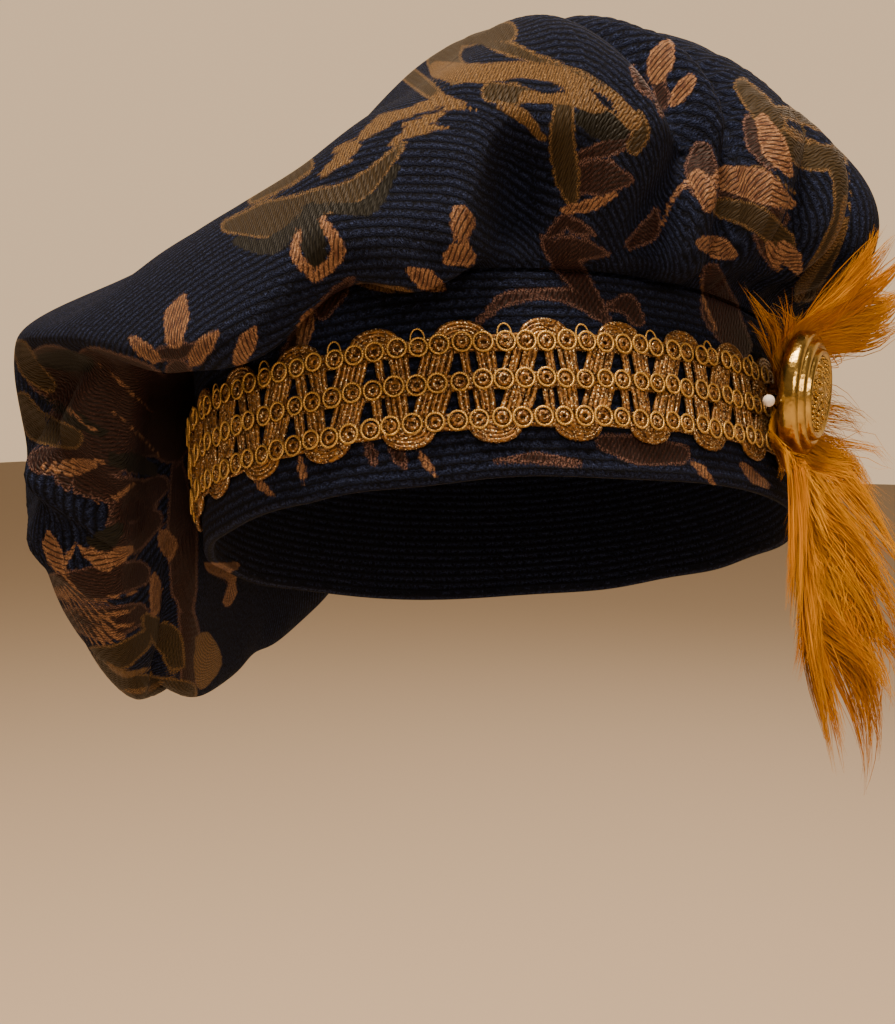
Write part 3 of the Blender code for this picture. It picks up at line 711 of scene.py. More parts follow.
def curve_through(points, widths, spacing):
    """Points along a smooth curve through a stroke's points, and the half-width at each."""
    points = np.array(points, dtype=float)
    knots = way_along(points)
    slope = np.gradient(points, knots, axis=0)
    at_length = np.linspace(0.0, knots[-1], max(6, int(knots[-1] / spacing)))
    at = np.clip(np.searchsorted(knots, at_length, side="right") - 1, 0, len(points) - 2)
    span = np.diff(knots)[at][:, None]
    t = ((at_length - knots[at])[:, None]) / span
    path = hermite(points[at], points[at + 1], slope[at] * span, slope[at + 1] * span, t)
    return path, np.interp(at_length / knots[-1], (0.0, 0.5, 1.0), widths)


def stroke_distance(places, path, widths, best, chosen, scale=1.0):
    """Lowers best to the distance of each chosen place from a stroke, minus inside it."""
    reach = widths.max() + STROKE_REACH
    low, high = path.min(axis=0) - reach, path.max(axis=0) + reach
    near = np.all((places > low) & (places < high), axis=1) & chosen
    if near.any():
        gap = np.linalg.norm(places[near][:, None] - path[None], axis=2) - widths[None]
        scales = np.broadcast_to(scale, near.shape)[near]
        best[near] = np.minimum(best[near], gap.min(axis=1) / scales)


def look_through_camera(places, tree):
    """Each place in the picture's pixels, how many go to a millimetre, and if it is seen."""
    local = (places - np.array(CAMERA_PLACE)) @ np.array(CAMERA_TURN.to_matrix())
    depth = -local[:, 2]
    x = PICTURE_WIDTH / 2 + FOCAL_PIXELS * local[:, 0] / depth
    y = PICTURE_HEIGHT / 2 - FOCAL_PIXELS * local[:, 1] / depth
    seen = np.zeros(len(places), dtype=bool)
    for number, place in enumerate(places.tolist()):
        way = Vector(place) - CAMERA_PLACE
        hit = tree.ray_cast(CAMERA_PLACE, way)
        seen[number] = hit[0] is None or hit[3] > way.length - SEEN_SLACK * MM
    return np.stack([x, y], axis=1), FOCAL_PIXELS / depth * MM, seen


def where_rays_land(tree, path, widths):
    """Where a stroke's points fall on the cloth, with their half-widths there (n, 4)."""
    found = []
    for pixel, width in zip(path, widths):
        line = sight_line(*pixel)
        spot, normal, _, way = tree.ray_cast(CAMERA_PLACE, line)
        if spot and abs(normal.dot(line)) > GRAZING * line.length:
            found.append((*spot, width * way / FOCAL_PIXELS))
    return np.array(found) / MM


def read_vectors(rows, name):
    values = np.zeros(len(rows) * 3)
    rows.foreach_get(name, values)
    return values.reshape(-1, 3)


print(len(SPRAY_PLACES), "sprays of", len(SPRAY), "strokes on the crown")

# %% Weave the pattern into the crown
def weave_pattern(piece, front, sprays, sprayed_from=-math.inf):
    """Store each point's distance from the strokes of every colour on the piece."""
    mesh = piece.data
    places = read_vectors(mesh.vertices, "co")
    cloth = read_vectors(mesh.attributes["cloth"].data, "vector")[:, :2]
    tree = BVHTree.FromPolygons(places.tolist(), [tuple(p.vertices) for p in mesh.polygons])
    distance = {colour: np.full(len(places), FAR) for colour in COLOURS}
    pixels_of, pixels_per_mm, seen = look_through_camera(places, tree)
    landed = 0
    for colour, widths, *pixels in front:
        path, reach = curve_through(pixels, widths, PIXEL_STEP)
        spots = where_rays_land(tree, path, reach)
        if len(spots):
            landed += 1
            stroke_distance(places / MM, spots[:, :3], spots[:, 3], distance[colour], ~seen)
            stroke_distance(pixels_of, path, reach, distance[colour], seen, pixels_per_mm)
    hidden = ~seen & (cloth[:, 1] > sprayed_from)
    for x, y, turn in sprays:
        cos, sin = math.cos(math.radians(turn)), math.sin(math.radians(turn))
        spin = np.array(((cos, sin), (-sin, cos)))
        for colour, widths, *points in SPRAY:
            path, reach = curve_through(points, widths, CLOTH_STEP)
            stroke_distance(cloth, path @ spin + (x, y), reach, distance[colour], hidden)
    for name, trio in (("weave_low", COLOURS[:3]), ("weave_high", COLOURS[3:])):
        values = np.stack([distance[colour] for colour in trio], axis=1)
        layer = mesh.attributes.new(name, 'FLOAT_VECTOR', 'POINT')
        layer.data.foreach_set("vector", values.astype(np.float32).ravel())
    print(piece.name, "takes", landed, "front strokes and", len(sprays), "sprays")


weave_pattern(crown, FRONT_STROKES, SPRAY_PLACES)

# %% [markdown]
# ## Chenille tapestry
# Chenille yarn is a fuzzy cord, laid side by side here as ribs about 2.4 mm apart, soft on
# the crest. Between the ribs the colour is painted nearly black as shade, and the pile's tips
# get a painted highlight. The motifs are flat satin and twill of fine threads, a little glossier
# than the ground and a little lower, with painted glints strewn on them as highlights. Bump
# does for threads this small, and jagged edges show where each colour stops at a rib.

# %% Find the ribs and the threads
RIB_PITCH = 2.4
# Threads of satin and twill lie about 0.4 mm apart on the real cloth, little more than a pixel
# of the picture, so they are drawn as coarse as they need to show
SATIN_PITCH = 0.95
TWILL_PITCH = 1.43
HATCH_PITCH = 1.55
# Noise over the cloth: how many lumps there are to a millimetre, and how finely they break
UNEVENNESS = ((0.06, 2.0), (0.35, 2.0), (0.85, 3.0), (2.2, 3.0))

tapestry, weave, tapestry_inputs = new_material("chenille tapestry", {
    "Sheen Weight": 0.03, "Sheen Roughness": 0.5, "Sheen Tint": "#8f9cc8",
    "Specular IOR Level": 0.14})


def stored(tree, name):
    """The vector that a piece's points store under a name, and its three parts."""
    vector = add_node(tree, "Attribute", attribute_name=name).outputs["Vector"]
    return vector, add_node(tree, "SeparateXYZ", vector).outputs


def stripes(value, pitch, wobble, amount):
    """0 to 1 and back once for every pitch of the value, which the wobble shifts."""
    value = add_node(weave, "Math", wobble, amount, value, operation='MULTIPLY_ADD')
    turns = add_node(weave, "Math", value, 2.0 / pitch, operation='MULTIPLY')
    return add_node(weave, "Math", turns, 1.0, operation='PINGPONG')


cloth_place, axes = stored(weave, "cloth")
broad, middling, clumps, fuzz = [
    add_node(weave, "TexNoise", cloth_place, scale, detail) for scale, detail in UNEVENNESS]
rib = stripes(axes["Y"], RIB_PITCH, clumps, 1.5)
crest = add_node(weave, "Math", rib, 0.9, operation='POWER')
for patches, span in ((clumps, (0.38, 0.56, 0.25, 1.0)), (fuzz, (0.38, 0.60, 0.35, 1.15))):
    thickness = add_node(weave, "MapRange", patches, *span)
    crest = add_node(weave, "Math", crest, thickness, operation='MULTIPLY')
satin = stripes(axes["X"], SATIN_PITCH, middling, 0.8)
slant = add_node(weave, "Math", axes["Y"], 0.8, axes["X"], operation='MULTIPLY_ADD')
twill = stripes(slant, TWILL_PITCH, fuzz, 0.9)
steep = add_node(weave, "Math", axes["Y"], 0.35, axes["X"], operation='MULTIPLY_ADD')
hatch = add_node(weave, "MapRange", stripes(steep, HATCH_PITCH, middling, 1.0), 0.05, 0.5)
print("threads every", SATIN_PITCH, TWILL_PITCH, "and", HATCH_PITCH, "mm")

# %% Edge the motifs
motifs, accents = [stored(weave, name)[1] for name in ("weave_low", "weave_high")]
satin_share = add_node(weave, "Math", satin, 0.3, operation='MULTIPLY')
jag = add_node(weave, "Math", rib, 0.4, satin_share, operation='MULTIPLY_ADD')
drift = add_node(weave, "Math", middling, 1.0, -0.85, operation='MULTIPLY_ADD')
jag = add_node(weave, "Math", jag, drift, operation='ADD')


def inside(distance, raggedness=1.0, edge=0.2):
    """1 inside a stroke and 0 outside, with a jagged edge."""
    ragged = add_node(weave, "Math", jag, raggedness, distance, operation='MULTIPLY_ADD')
    return add_node(weave, "MapRange", ragged, edge, -edge)


def outlined(colour, distance, edge_colour, strength):
    """The colour with a row of bright stitches just inside the stroke's edge."""
    rise = add_node(weave, "MapRange", distance, -1.0, -0.6)
    fall = add_node(weave, "MapRange", distance, 0.3, 0.0)
    row = add_node(weave, "Math", rise, fall, operation='MULTIPLY')
    stitches = add_node(weave, "MapRange", fuzz, 0.47, 0.56)
    stitches = add_node(weave, "Math", stitches, strength, operation='MULTIPLY')
    share = add_node(weave, "Math", row, stitches, operation='MULTIPLY')
    return add_node(weave, "Mix", share, colour, edge_colour, data_type='RGBA')


gap = add_node(weave, "Math", 1.0, inside(accents["Z"]), operation='SUBTRACT')
shares = {
    "brown": inside(motifs["X"]),
    "olive": add_node(weave, "Math", inside(motifs["Z"]), gap, operation='MULTIPLY'),
    "moss": inside(accents["X"]),
    "gold": add_node(weave, "Math", inside(accents["Y"], 0.6), gap, operation='MULTIPLY'),
    "copper": inside(motifs["Y"], 0.8),
}
print("motifs laid in this order:", *shares)

# %% Dye the threads and paint their shade and highlights
# Painted highlight: the tips of the chenille pile are made lighter in colour
tips = add_node(weave, "Math", crest, 2.0, operation='POWER')
tips = add_node(weave, "Math", tips, 0.5, operation='MULTIPLY')
# Painted glints: scattered bright specks on the twill and satin stand in for their highlights
painted_glint = add_node(weave, "MapRange", fuzz, 0.56, 0.72, 0.0, 0.7)
twill_painted_glint = add_node(weave, "Math", painted_glint, twill, operation='MULTIPLY')
satin_painted_glint = add_node(weave, "Math", painted_glint, 0.8, operation='MULTIPLY')
lustre = add_node(weave, "MapRange", middling, 0.38, 0.62)
dulled = add_node(weave, "Math", broad, 0.55, operation='MULTIPLY')
# For each colour, from the bottom up: a share, and the two shades that it blends. BELOW
# stands for what was blended before.
BELOW = None
SHADES = {
    # The ground: painted shade makes it nearly black between the ribs, and a painted highlight
    # lightens the pile's tips
    "ground": ((crest, "#000103", "#16244e"), (tips, BELOW, "#4a5882")),
    "brown": ((twill, "#110806", "#301c18"), (twill_painted_glint, BELOW, "#6f4a3e")),
    "copper": ((lustre, "#583a2b", "#7c5a40"), (satin_painted_glint, BELOW, "#cfa878"),
               (hatch, "#1c0c06", BELOW)),
    "olive": ((satin, "#1d160a", "#3d2f1a"), (dulled, BELOW, "#2c2412")),
    "moss": ((satin, "#0c0b07", "#1b1911"),),
    "gold": ((satin, "#332410", "#6b502e"), (satin_painted_glint, BELOW, "#c6a274")),
}
# The bright stitches round a motif: which distance they follow, their colour and strength
STITCHES = {
    "brown": (motifs["X"], "#98746a", 0.36),
    "copper": (motifs["Y"], "#b08664", 0.4),
    "olive": (motifs["Z"], "#94724a", 0.5),
}
dyed_with_painted_light = {}
for name, shades in SHADES.items():
    laid = BELOW
    for share, *pair in shades:
        first, second = [laid if shade is BELOW else shade for shade in pair]
        laid = add_node(weave, "Mix", share, first, second, data_type='RGBA')
    dyed_with_painted_light[name] = outlined(laid, *STITCHES[name]) if name in STITCHES else laid
print("dyed:", *dyed_with_painted_light)

# %% Lay the colours over the ground
colour, covered = dyed_with_painted_light["ground"], None
for name, share in shares.items():
    colour = add_node(weave, "Mix", share, colour, dyed_with_painted_light[name], data_type='RGBA')
    covered = share if covered is None else add_node(weave, "Math", covered, share,
                                                     operation='MAXIMUM')
fill(tapestry_inputs["Base Color"], colour)

satin_relief = add_node(weave, "Math", satin, 0.10, operation='MULTIPLY')
flat_relief = add_node(weave, "Math", hatch, 0.12, satin_relief, operation='MULTIPLY_ADD')
flat_relief = add_node(weave, "Math", flat_relief, 0.25, operation='ADD')
fuzz_relief = add_node(weave, "Math", fuzz, 0.25, operation='MULTIPLY')
rib_relief = add_node(weave, "Math", crest, 0.85, fuzz_relief, operation='MULTIPLY_ADD')
relief = add_node(weave, "Mix", covered, rib_relief, flat_relief, data_type='FLOAT')
fill(tapestry_inputs["Normal"], add_node(weave, "Bump", inputs={
    "Strength": 1.0, "Distance": 1.6 * MM, "Height": relief}))
fill(tapestry_inputs["Roughness"],
     add_node(weave, "Math", covered, -0.36, 0.92, operation='MULTIPLY_ADD'))
crown.data.materials[0] = tapestry
bpy.data.materials.remove(placeholder)
print("tapestry has", len(weave.nodes), "nodes")

# %% [markdown]
# ## The headband
# The band is the same cloth folded over a stiff strip. A closed outline with rounded edges is
# swept round an oval the size of a head. Its ribs run along the band, so its place on the cloth
# is its length round the band and the way over the outline. The outline starts at the foot of
# the inner face, where its seam stays out of sight.

# %% Make the headband
BAND_COLUMNS = 400
EDGE_STEPS = 5
FACE_STEPS = 34
RING_STEPS = 1440
# The rim isn't dead level: it waves by this much, in waves this long that drift over a longer
# way, and higher up the face they fade
RIPPLE = 0.35
RIPPLE_LENGTH = 9.0
RIPPLE_DRIFT = 41.0
RIPPLE_FADE = 9.0

half_wall = BAND_WALL / 2
face = BAND_HEIGHT - BAND_WALL
outline = []
# The round foot and the outer face going up, then the round top and the inner face going down
for start, level, straight, way in ((math.pi, half_wall, 0.0, face),
                                    (0.0, half_wall + face, -BAND_WALL, -face)):
    for i in range(EDGE_STEPS):
        turn = start + math.pi * i / EDGE_STEPS
        outline.append((half_wall * (math.cos(turn) - 1), level + half_wall * math.sin(turn)))
    outline += [(straight, level + way * i / FACE_STEPS) for i in range(FACE_STEPS)]
outline = np.array(outline + outline[:1])[::-1]
over_outline = way_along(outline)

ring_azimuths = np.linspace(0.0, 360.0, RING_STEPS + 1)
ring_lengths = way_along(polar(ring_azimuths, ellipse_radius(ring_azimuths, BAND_X, BAND_Y), 0.0))
BAND_ROUND = ring_lengths[-1]


def on_band(arc, height, outward):
    """Points at a length round the band, a height over the rim and a distance off its face."""
    azimuth = np.interp(np.mod(arc, BAND_ROUND), ring_lengths, ring_azimuths)
    radius = ellipse_radius(azimuth, BAND_X + outward, BAND_Y + outward)
    return polar(azimuth, radius, height)


def place_band(u, v):
    arc = u * BAND_ROUND / BAND_COLUMNS
    outward, height = outline[v].T
    wave = np.sin(arc / RIPPLE_LENGTH + 2.0 * np.sin(arc / RIPPLE_DRIFT))
    ripple = RIPPLE * wave * np.exp(-(height / RIPPLE_FADE) ** 2)
    cloth = np.stack([arc, over_outline[v], 0.0 * arc], axis=1)
    return on_band(arc, height + ripple, outward), {"cloth": cloth}


band_bm = bent_grid(BAND_COLUMNS, len(outline) - 1, place_band)
headband = add_piece("headband_cloth", band_bm, tapestry, "tapestry", "headband")
# The same spray lies along the back of the band, in the middle of its outer face
OUTER_MIDDLE = 0.70
BAND_SPRAYS = tuple((BAND_ROUND * share, over_outline[-1] * OUTER_MIDDLE, turn)
                    for share, turn in ((0.34, 30), (0.50, 200), (0.66, 60)))
weave_pattern(headband, FRONT_STROKES, BAND_SPRAYS, sprayed_from=over_outline[-1] / 2)
print("band:", round(BAND_ROUND), "mm round,", round(over_outline[-1]), "mm of cloth over it")

# %% [markdown]
# ## Cords from a grid
# The braid is made of thread: smooth gold loops and cords wound with glitter. Every thread is
# a strip of one long grid, rolled into a tube round its own path. The strips are parted by
# leaving out the cells between them, and welding closes each tube. Each point keeps its length
# along the thread, so that the twist follows it.

# %% A helper that lays threads
# A seed for each thread or barb: steps of this share never fall into a rhythm
SEED_STEP = 0.618
THREAD_END = 0.02
THREAD_WELD = 0.004


def thread_bundle(paths, radii, sides):
    """Tubes along paths, a list of (n, 3) arrays in millimetres, all in one bmesh."""
    counts = [len(path) for path in paths]
    ends = set(np.cumsum(counts)[:-1] - 1)
    across, upward, alongs, widths, seeds = [], [], [], [], []
    for number, (path, radius) in enumerate(zip(paths, radii)):
        closed = np.allclose(path[0], path[-1])
        if closed:
            before, after = np.roll(path[:-1], 1, axis=0), np.roll(path[:-1], -1, axis=0)
            tangent = np.vstack([after - before, after[:1] - before[:1]])
        else:
            tangent = np.gradient(path, axis=0)
        tangent /= np.linalg.norm(tangent, axis=1, keepdims=True)
        out = path * (1, 1, 0)
        out /= np.linalg.norm(out, axis=1, keepdims=True)
        side = np.cross(tangent, out)
        side /= np.maximum(np.linalg.norm(side, axis=1, keepdims=True), 1e-6)
        across.append(side)
        upward.append(np.cross(side, tangent))
        alongs.append(way_along(path))
        taper = np.ones(len(path))
        if not closed:
            taper[[0, -1]] = THREAD_END
        widths.append(radius * taper)
        seeds.append(np.full(len(path), (number * SEED_STEP) % 1.0))
    spots, across, upward = (np.vstack(rows) for rows in (paths, across, upward))
    alongs, widths, seeds = (np.concatenate(rows) for rows in (alongs, widths, seeds))

    def place(u, v):
        turn = -2 * math.pi * v / sides
        ring = across[u] * np.cos(turn)[:, None] + upward[u] * np.sin(turn)[:, None]
        thread = np.stack([alongs[u], v / sides, seeds[u]], axis=1)
        return spots[u] + ring * widths[u][:, None], {"thread": thread}

    bm = bent_grid(sum(counts) - 1, sides, place, weld=THREAD_WELD,
                   keep=lambda column, row: column not in ends)
    bmesh.ops.recalc_face_normals(bm, faces=bm.faces)
    return bm


print("threads end at", THREAD_END, "of their width")

# %% [markdown]
# ## The braid's two threads
# Gold gimp is metallised polyester film wound over yarn. The smooth thread shines evenly, with
# a fine twist. The glitter cord's cells differ in colour and in tilt, as its tiny facets do, and a
# random few are painted nearly white as the sparks that a facet throws back.

# %% Gold thread
TWISTS_PER_MM = 1.6
PATCHES_PER_MM = 0.3

gold_thread, tree, inputs = new_material("metallised gold thread", {
    "Metallic": 0.55, "Roughness": 0.36})
thread_axes = stored(tree, "thread")[1]
wind = add_node(tree, "Math", thread_axes["X"], TWISTS_PER_MM, operation='MULTIPLY')
wind = add_node(tree, "Math", wind, thread_axes["Y"], operation='ADD')
twist = add_node(tree, "Math", wind, 2.0, operation='MULTIPLY')
twist = add_node(tree, "Math", twist, 1.0, operation='PINGPONG')
object_place = add_node(tree, "TexCoord").outputs["Object"]
patches = add_node(tree, "TexNoise", object_place, PATCHES_PER_MM / MM, 2.0)
patches = add_node(tree, "Math", patches, 0.5, operation='MULTIPLY')
thread_colour = add_node(tree, "Mix", twist, "#a07230", "#e6c476", data_type='RGBA')
thread_colour = add_node(tree, "Mix", patches, thread_colour, "#ba8c42", data_type='RGBA')
fill(inputs["Base Color"], thread_colour)
fill(inputs["Normal"], add_node(tree, "Bump", inputs={
    "Strength": 0.6, "Distance": 0.1 * MM, "Height": twist}))
print("rings:", gold_thread.name)

# %% Glitter cord
# Real glitter is about 0.2 mm across and too fine to show, so it is drawn coarser
GLITTER_SIZE = 0.5 * MM

glitter_cord, tree, inputs = new_material("glitter cord", {"Metallic": 0.6})
object_place = add_node(tree, "TexCoord").outputs["Object"]
flecks = add_node(tree, "TexVoronoi", object_place, 1 / GLITTER_SIZE).outputs
fleck_value = add_node(tree, "SeparateColor", flecks["Color"]).outputs
core = add_node(tree, "MapRange", flecks["Distance"], 0.42, 0.22)
# Painted sparks: a random few cells are made near white, standing in for facets that catch the
# light
painted_sparkle = add_node(tree, "MapRange", fleck_value["Green"], 0.42, 0.7)
painted_sparkle = add_node(tree, "Math", painted_sparkle, core, operation='MULTIPLY')
fleck_colour = add_node(tree, "Mix", fleck_value["Red"], "#3a2112", "#a2743a", data_type='RGBA')
fleck_colour = add_node(tree, "Mix", painted_sparkle, fleck_colour, "#fff0c4", data_type='RGBA')
fill(inputs["Base Color"], fleck_colour)
fill(inputs["Normal"], add_node(tree, "Bump", inputs={
    "Strength": 0.8, "Distance": 0.4 * MM, "Height": fleck_value["Blue"]}))
fill(inputs["Roughness"],
     add_node(tree, "Math", fleck_value["Red"], 0.35, 0.25, operation='MULTIPLY_ADD'))
print("cords:", glitter_cord.name)

# %% [markdown]
# ## The scalloped braid
# Twenty-eight repeats run round the band. Three rows of four gold rings carry each repeat,
# with two slanting pairs and clusters of glitter cord between the rows. Mounds of cord make the
# scallops, the upper ones half a repeat from the lower, with a picot loop in each upper valley.

# %% Measure out the braid
TRIM_REPEATS = 28
REPEAT = BAND_ROUND / TRIM_REPEATS
REPEAT_START = 0.86
# The ring rows: height over the rim, and where a repeat starts there, in repeats
RING_ROWS = ((14.1, 0.04), (23.7, 0.11), (33.2, 0.17))
RINGS_PER_REPEAT = 4
RING_SHIFT = 0.03
# A ring is a little taller than it is wide, and a knot of cord lies in it
RING_RADIUS = 2.2
RING_TALL = 1.06
RING_THREAD = 0.32
RING_POINTS = 14
KNOT_RADIUS = 1.15
KNOT_POINTS = 7
CORD = 0.70
CORD_POINTS = 9
THREAD_SIDES = 5
# Hand work is never even: how far rings, cords and picots stray in millimetres, and how much
# of it the sizes of rings, knots and cords and the lift of cords take up
RING_STRAY = 0.25
CORD_STRAY = 0.3
PICOT_STRAY = 0.6
RING_VARIES = 0.25
KNOT_VARIES = 0.4
CORD_VARIES = 0.3
CORD_RISES = 0.4
# How far the braid stands off the band, and how much further each of its layers does
LIFT = GAP + 0.7
KNOT_LIFT = 0.9
RING_LIFT = 1.2
RING_OVERLAP = 0.5
TIER_LIFT = 0.3
SCALLOP_LIFT = 0.1
BASE_LIFT = -0.35
# Cords between two ring rows: share of the repeat at the lower row, then at the upper row.
# A broad slanting band leans one way, a thin cord and a narrow band the other.
TIER_CORDS = (
    (-0.48, -0.41), (-0.41, -0.34), (-0.35, -0.28), (-0.28, -0.22), (-0.22, -0.16), (-0.16, -0.09),
    (0.10, 0.01), (0.15, 0.07), (0.28, 0.18), (0.34, 0.24), (0.39, 0.30), (0.44, 0.36),
)
TIER_MARGIN = 1.0
# Concentric arcs of a scallop: half its width and its depth
SCALLOP_ARCS = ((5.9, 4.7), (5.0, 3.7), (4.0, 2.7), (2.9, 1.7), (1.6, 0.8))
SCALLOP_FOOT = 0.6
SCALLOP_POINTS = 15
SCALLOP_CURVE = 0.8
# Scallops hang from the lowest ring row and stand on the highest: which way they go, the row,
# and how far their middle is past the row's start, in repeats
SCALLOPS = ((-1, RING_ROWS[0], 0.46), (1, RING_ROWS[-1], 0.01))
# Picot loops: half their width and height, and their rise over the upper row
PICOT = (1.7, 2.52)
PICOT_RISE = 1.9
PICOT_LIFT = 0.7
PICOT_PLACE = 0.5
PICOT_THREAD = RING_THREAD * 0.7
PICOT_POINTS = 16
# The base threads that carry a ring row: how far over and under it they run
BASE_THREADS = (-1.6, -0.55, 0.55, 1.6)
BASE_POINTS = 281
BASE_CORD = CORD * 0.85
BASE_WAVE = 0.15
BASE_WAVE_LENGTH = 1.7

wobble = np.random.default_rng(7)


def loop_on_band(centre_arc, centre_height, half_wide, half_tall, lift, points):
    turn = np.linspace(0.0, 2 * math.pi, points + 1)
    return on_band(centre_arc + half_wide * np.sin(turn),
                   centre_height - half_tall * np.cos(turn), np.full(points + 1, lift))


print("a repeat of the braid is", round(REPEAT, 1), "mm long")

# %% Work the braid
ring_paths, ring_radii, cord_paths, cord_radii = [], [], [], []
for repeat in range(TRIM_REPEATS):
    start = (repeat + REPEAT_START) * REPEAT
    for row, row_start in RING_ROWS:
        for number in range(RINGS_PER_REPEAT):
            jitter = wobble.uniform(-RING_STRAY, RING_STRAY, 3)
            place = row_start + RING_SHIFT + number / RINGS_PER_REPEAT
            centre, height = start + place * REPEAT + jitter[0], row + jitter[2]
            size = RING_RADIUS * (1 + RING_VARIES * jitter[1])
            lift = LIFT + RING_LIFT + RING_OVERLAP * (number % 2)
            ring_paths.append(loop_on_band(centre, height, size, size * RING_TALL, lift,
                                           RING_POINTS))
            ring_radii.append(RING_THREAD)
            knot = KNOT_RADIUS * (1 + KNOT_VARIES * jitter[1])
            cord_paths.append(loop_on_band(centre, height, knot, knot, LIFT + KNOT_LIFT,
                                           KNOT_POINTS))
            cord_radii.append(CORD)
    for (low_row, low_start), (high_row, high_start) in zip(RING_ROWS, RING_ROWS[1:]):
        for foot, head in TIER_CORDS:
            share = np.linspace(0.0, 1.0, CORD_POINTS)
            sway = wobble.uniform(-CORD_STRAY, CORD_STRAY, 2)
            low_arc, high_arc = (low_start + foot) * REPEAT, (high_start + head) * REPEAT
            arc = start + low_arc + (high_arc - low_arc) * share + sway[0] * np.sin(math.pi * share)
            height = low_row + TIER_MARGIN + (high_row - low_row - 2 * TIER_MARGIN) * share
            cord_paths.append(on_band(arc, height, LIFT + TIER_LIFT + sway[1] * CORD_RISES))
            cord_radii.append(CORD * (1 + sway[1] * CORD_VARIES))
    for side, (row, row_start), offset in SCALLOPS:
        for half_wide, depth in SCALLOP_ARCS:
            turn = np.linspace(0.0, math.pi, SCALLOP_POINTS)
            arc = start + (row_start + offset) * REPEAT - half_wide * np.cos(turn)
            height = row + side * (SCALLOP_FOOT + depth * np.sin(turn) ** SCALLOP_CURVE)
            cord_paths.append(on_band(arc, height, np.full(SCALLOP_POINTS, LIFT + SCALLOP_LIFT)))
            cord_radii.append(CORD)
    loop_arc = start + (RING_ROWS[-1][1] + PICOT_PLACE) * REPEAT
    loop_arc += wobble.uniform(-PICOT_STRAY, PICOT_STRAY)
    ring_paths.append(loop_on_band(loop_arc, RING_ROWS[-1][0] + PICOT_RISE, *PICOT,
                                   LIFT + PICOT_LIFT, PICOT_POINTS))
    ring_radii.append(PICOT_THREAD)

for row, _ in RING_ROWS:
    for shift in BASE_THREADS:
        arc = np.linspace(0.0, BAND_ROUND, BASE_POINTS)
        height = row + shift + BASE_WAVE * np.sin(arc / BASE_WAVE_LENGTH)
        path = on_band(arc, height, LIFT + BASE_LIFT)
        path[-1] = path[0]
        cord_paths.append(path)
        cord_radii.append(BASE_CORD)

for name, paths, radii, thread in (
        ("braid_rings", ring_paths, ring_radii, gold_thread),
        ("braid_cords", cord_paths, cord_radii, glitter_cord)):
    add_piece(name, thread_bundle(paths, radii, THREAD_SIDES), thread, "gold_braid", "trim")
print(len(ring_paths), "rings and loops,", len(cord_paths), "cords")

# %% [markdown]
# ## The button
# A gilt metal button is a turned shape: stepped rings round a domed face. Spinning an outline
# gives the rings. The face keeps a cast relief of leaves round a boss, which is worked into
# its points, and small grains strewn over it, so that it glitters. The metal is cast brass,
# gilded and polished: its rings mirror the room in a warm tone, and tarnish dulls them in
# patches.

# %% Turn the button
BUTTON_OFFSET = 10.6
BUTTON_FORWARD = 1.0
BUTTON_HEIGHT = 27.0
BUTTON_STEPS = 112
BUTTON_LEAN = 15.0
BUTTON_TURN = 8.0
# Radius and height, from the shank's end over the back, the rim and its rings to the middle
BUTTON_PROFILE = (
    (0.0, -9.2), (2.1, -9.2), (2.2, -9.0), (2.2, -2.8), (13.0, -2.8), (15.4, -2.7), (16.4, -2.2),
    (16.9, -1.4), (17.0, -0.4), (17.0, 1.2), (16.7, 2.2), (16.0, 2.8), (15.3, 2.7), (14.9, 2.4),
    (14.8, 2.5), (14.7, 3.2), (14.4, 4.0), (13.6, 4.4), (12.8, 4.2), (12.5, 3.9), (12.4, 4.0),
    (12.3, 4.7), (12.0, 5.3), (11.5, 5.5), (11.0, 5.3), (10.7, 4.9), (10.4, 4.8), (9.8, 4.8),
    (9.1, 4.9), (8.4, 5.0), (7.7, 5.1), (7.0, 5.2), (6.3, 5.3), (5.6, 5.4), (4.9, 5.5),
    (4.2, 5.55), (3.5, 5.6), (2.8, 5.65), (2.1, 5.7), (1.4, 5.75), (0.7, 5.8), (0.0, 5.8),
)

button_bm = bmesh.new()
outline_points = [button_bm.verts.new((radius, 0.0, height)) for radius, height in BUTTON_PROFILE]
outline_edges = [button_bm.edges.new(pair) for pair in zip(outline_points, outline_points[1:])]
bmesh.ops.spin(button_bm, geom=outline_points + outline_edges, cent=(0, 0, 0), axis=(0, 0, 1),
               angle=2 * math.pi, steps=BUTTON_STEPS, use_merge=True)
bmesh.ops.remove_doubles(button_bm, verts=button_bm.verts, dist=WELD)
bmesh.ops.recalc_face_normals(button_bm, faces=button_bm.faces)
print("button:", len(button_bm.faces), "faces turned")

# %% Work the face and set the button in place
FACE_RADIUS = 10.4
FACE_LEVEL = 4.0
LEAVES = 7
LEAF_RELIEF = 0.32
# The leaves curl to and fro by this many radians, at this rate outwards
LEAF_CURL = 1.4
CURL_PER_MM = 0.9
BOSS_RELIEF = 0.5
BOSS_RADIUS = 2.2
GRAINS = 150
GRAIN_RADIUS = 0.55
GRAIN_SIZES = (0.7, 1.1, 1.5)
GRAIN_REACH = 0.96
GRAIN_LEVEL = 5.7
GRAIN_FALL = 0.9
GOLDEN_ANGLE = 2.39996
CASTING_PER_MM = 0.9
TARNISH_PER_MM = 0.26

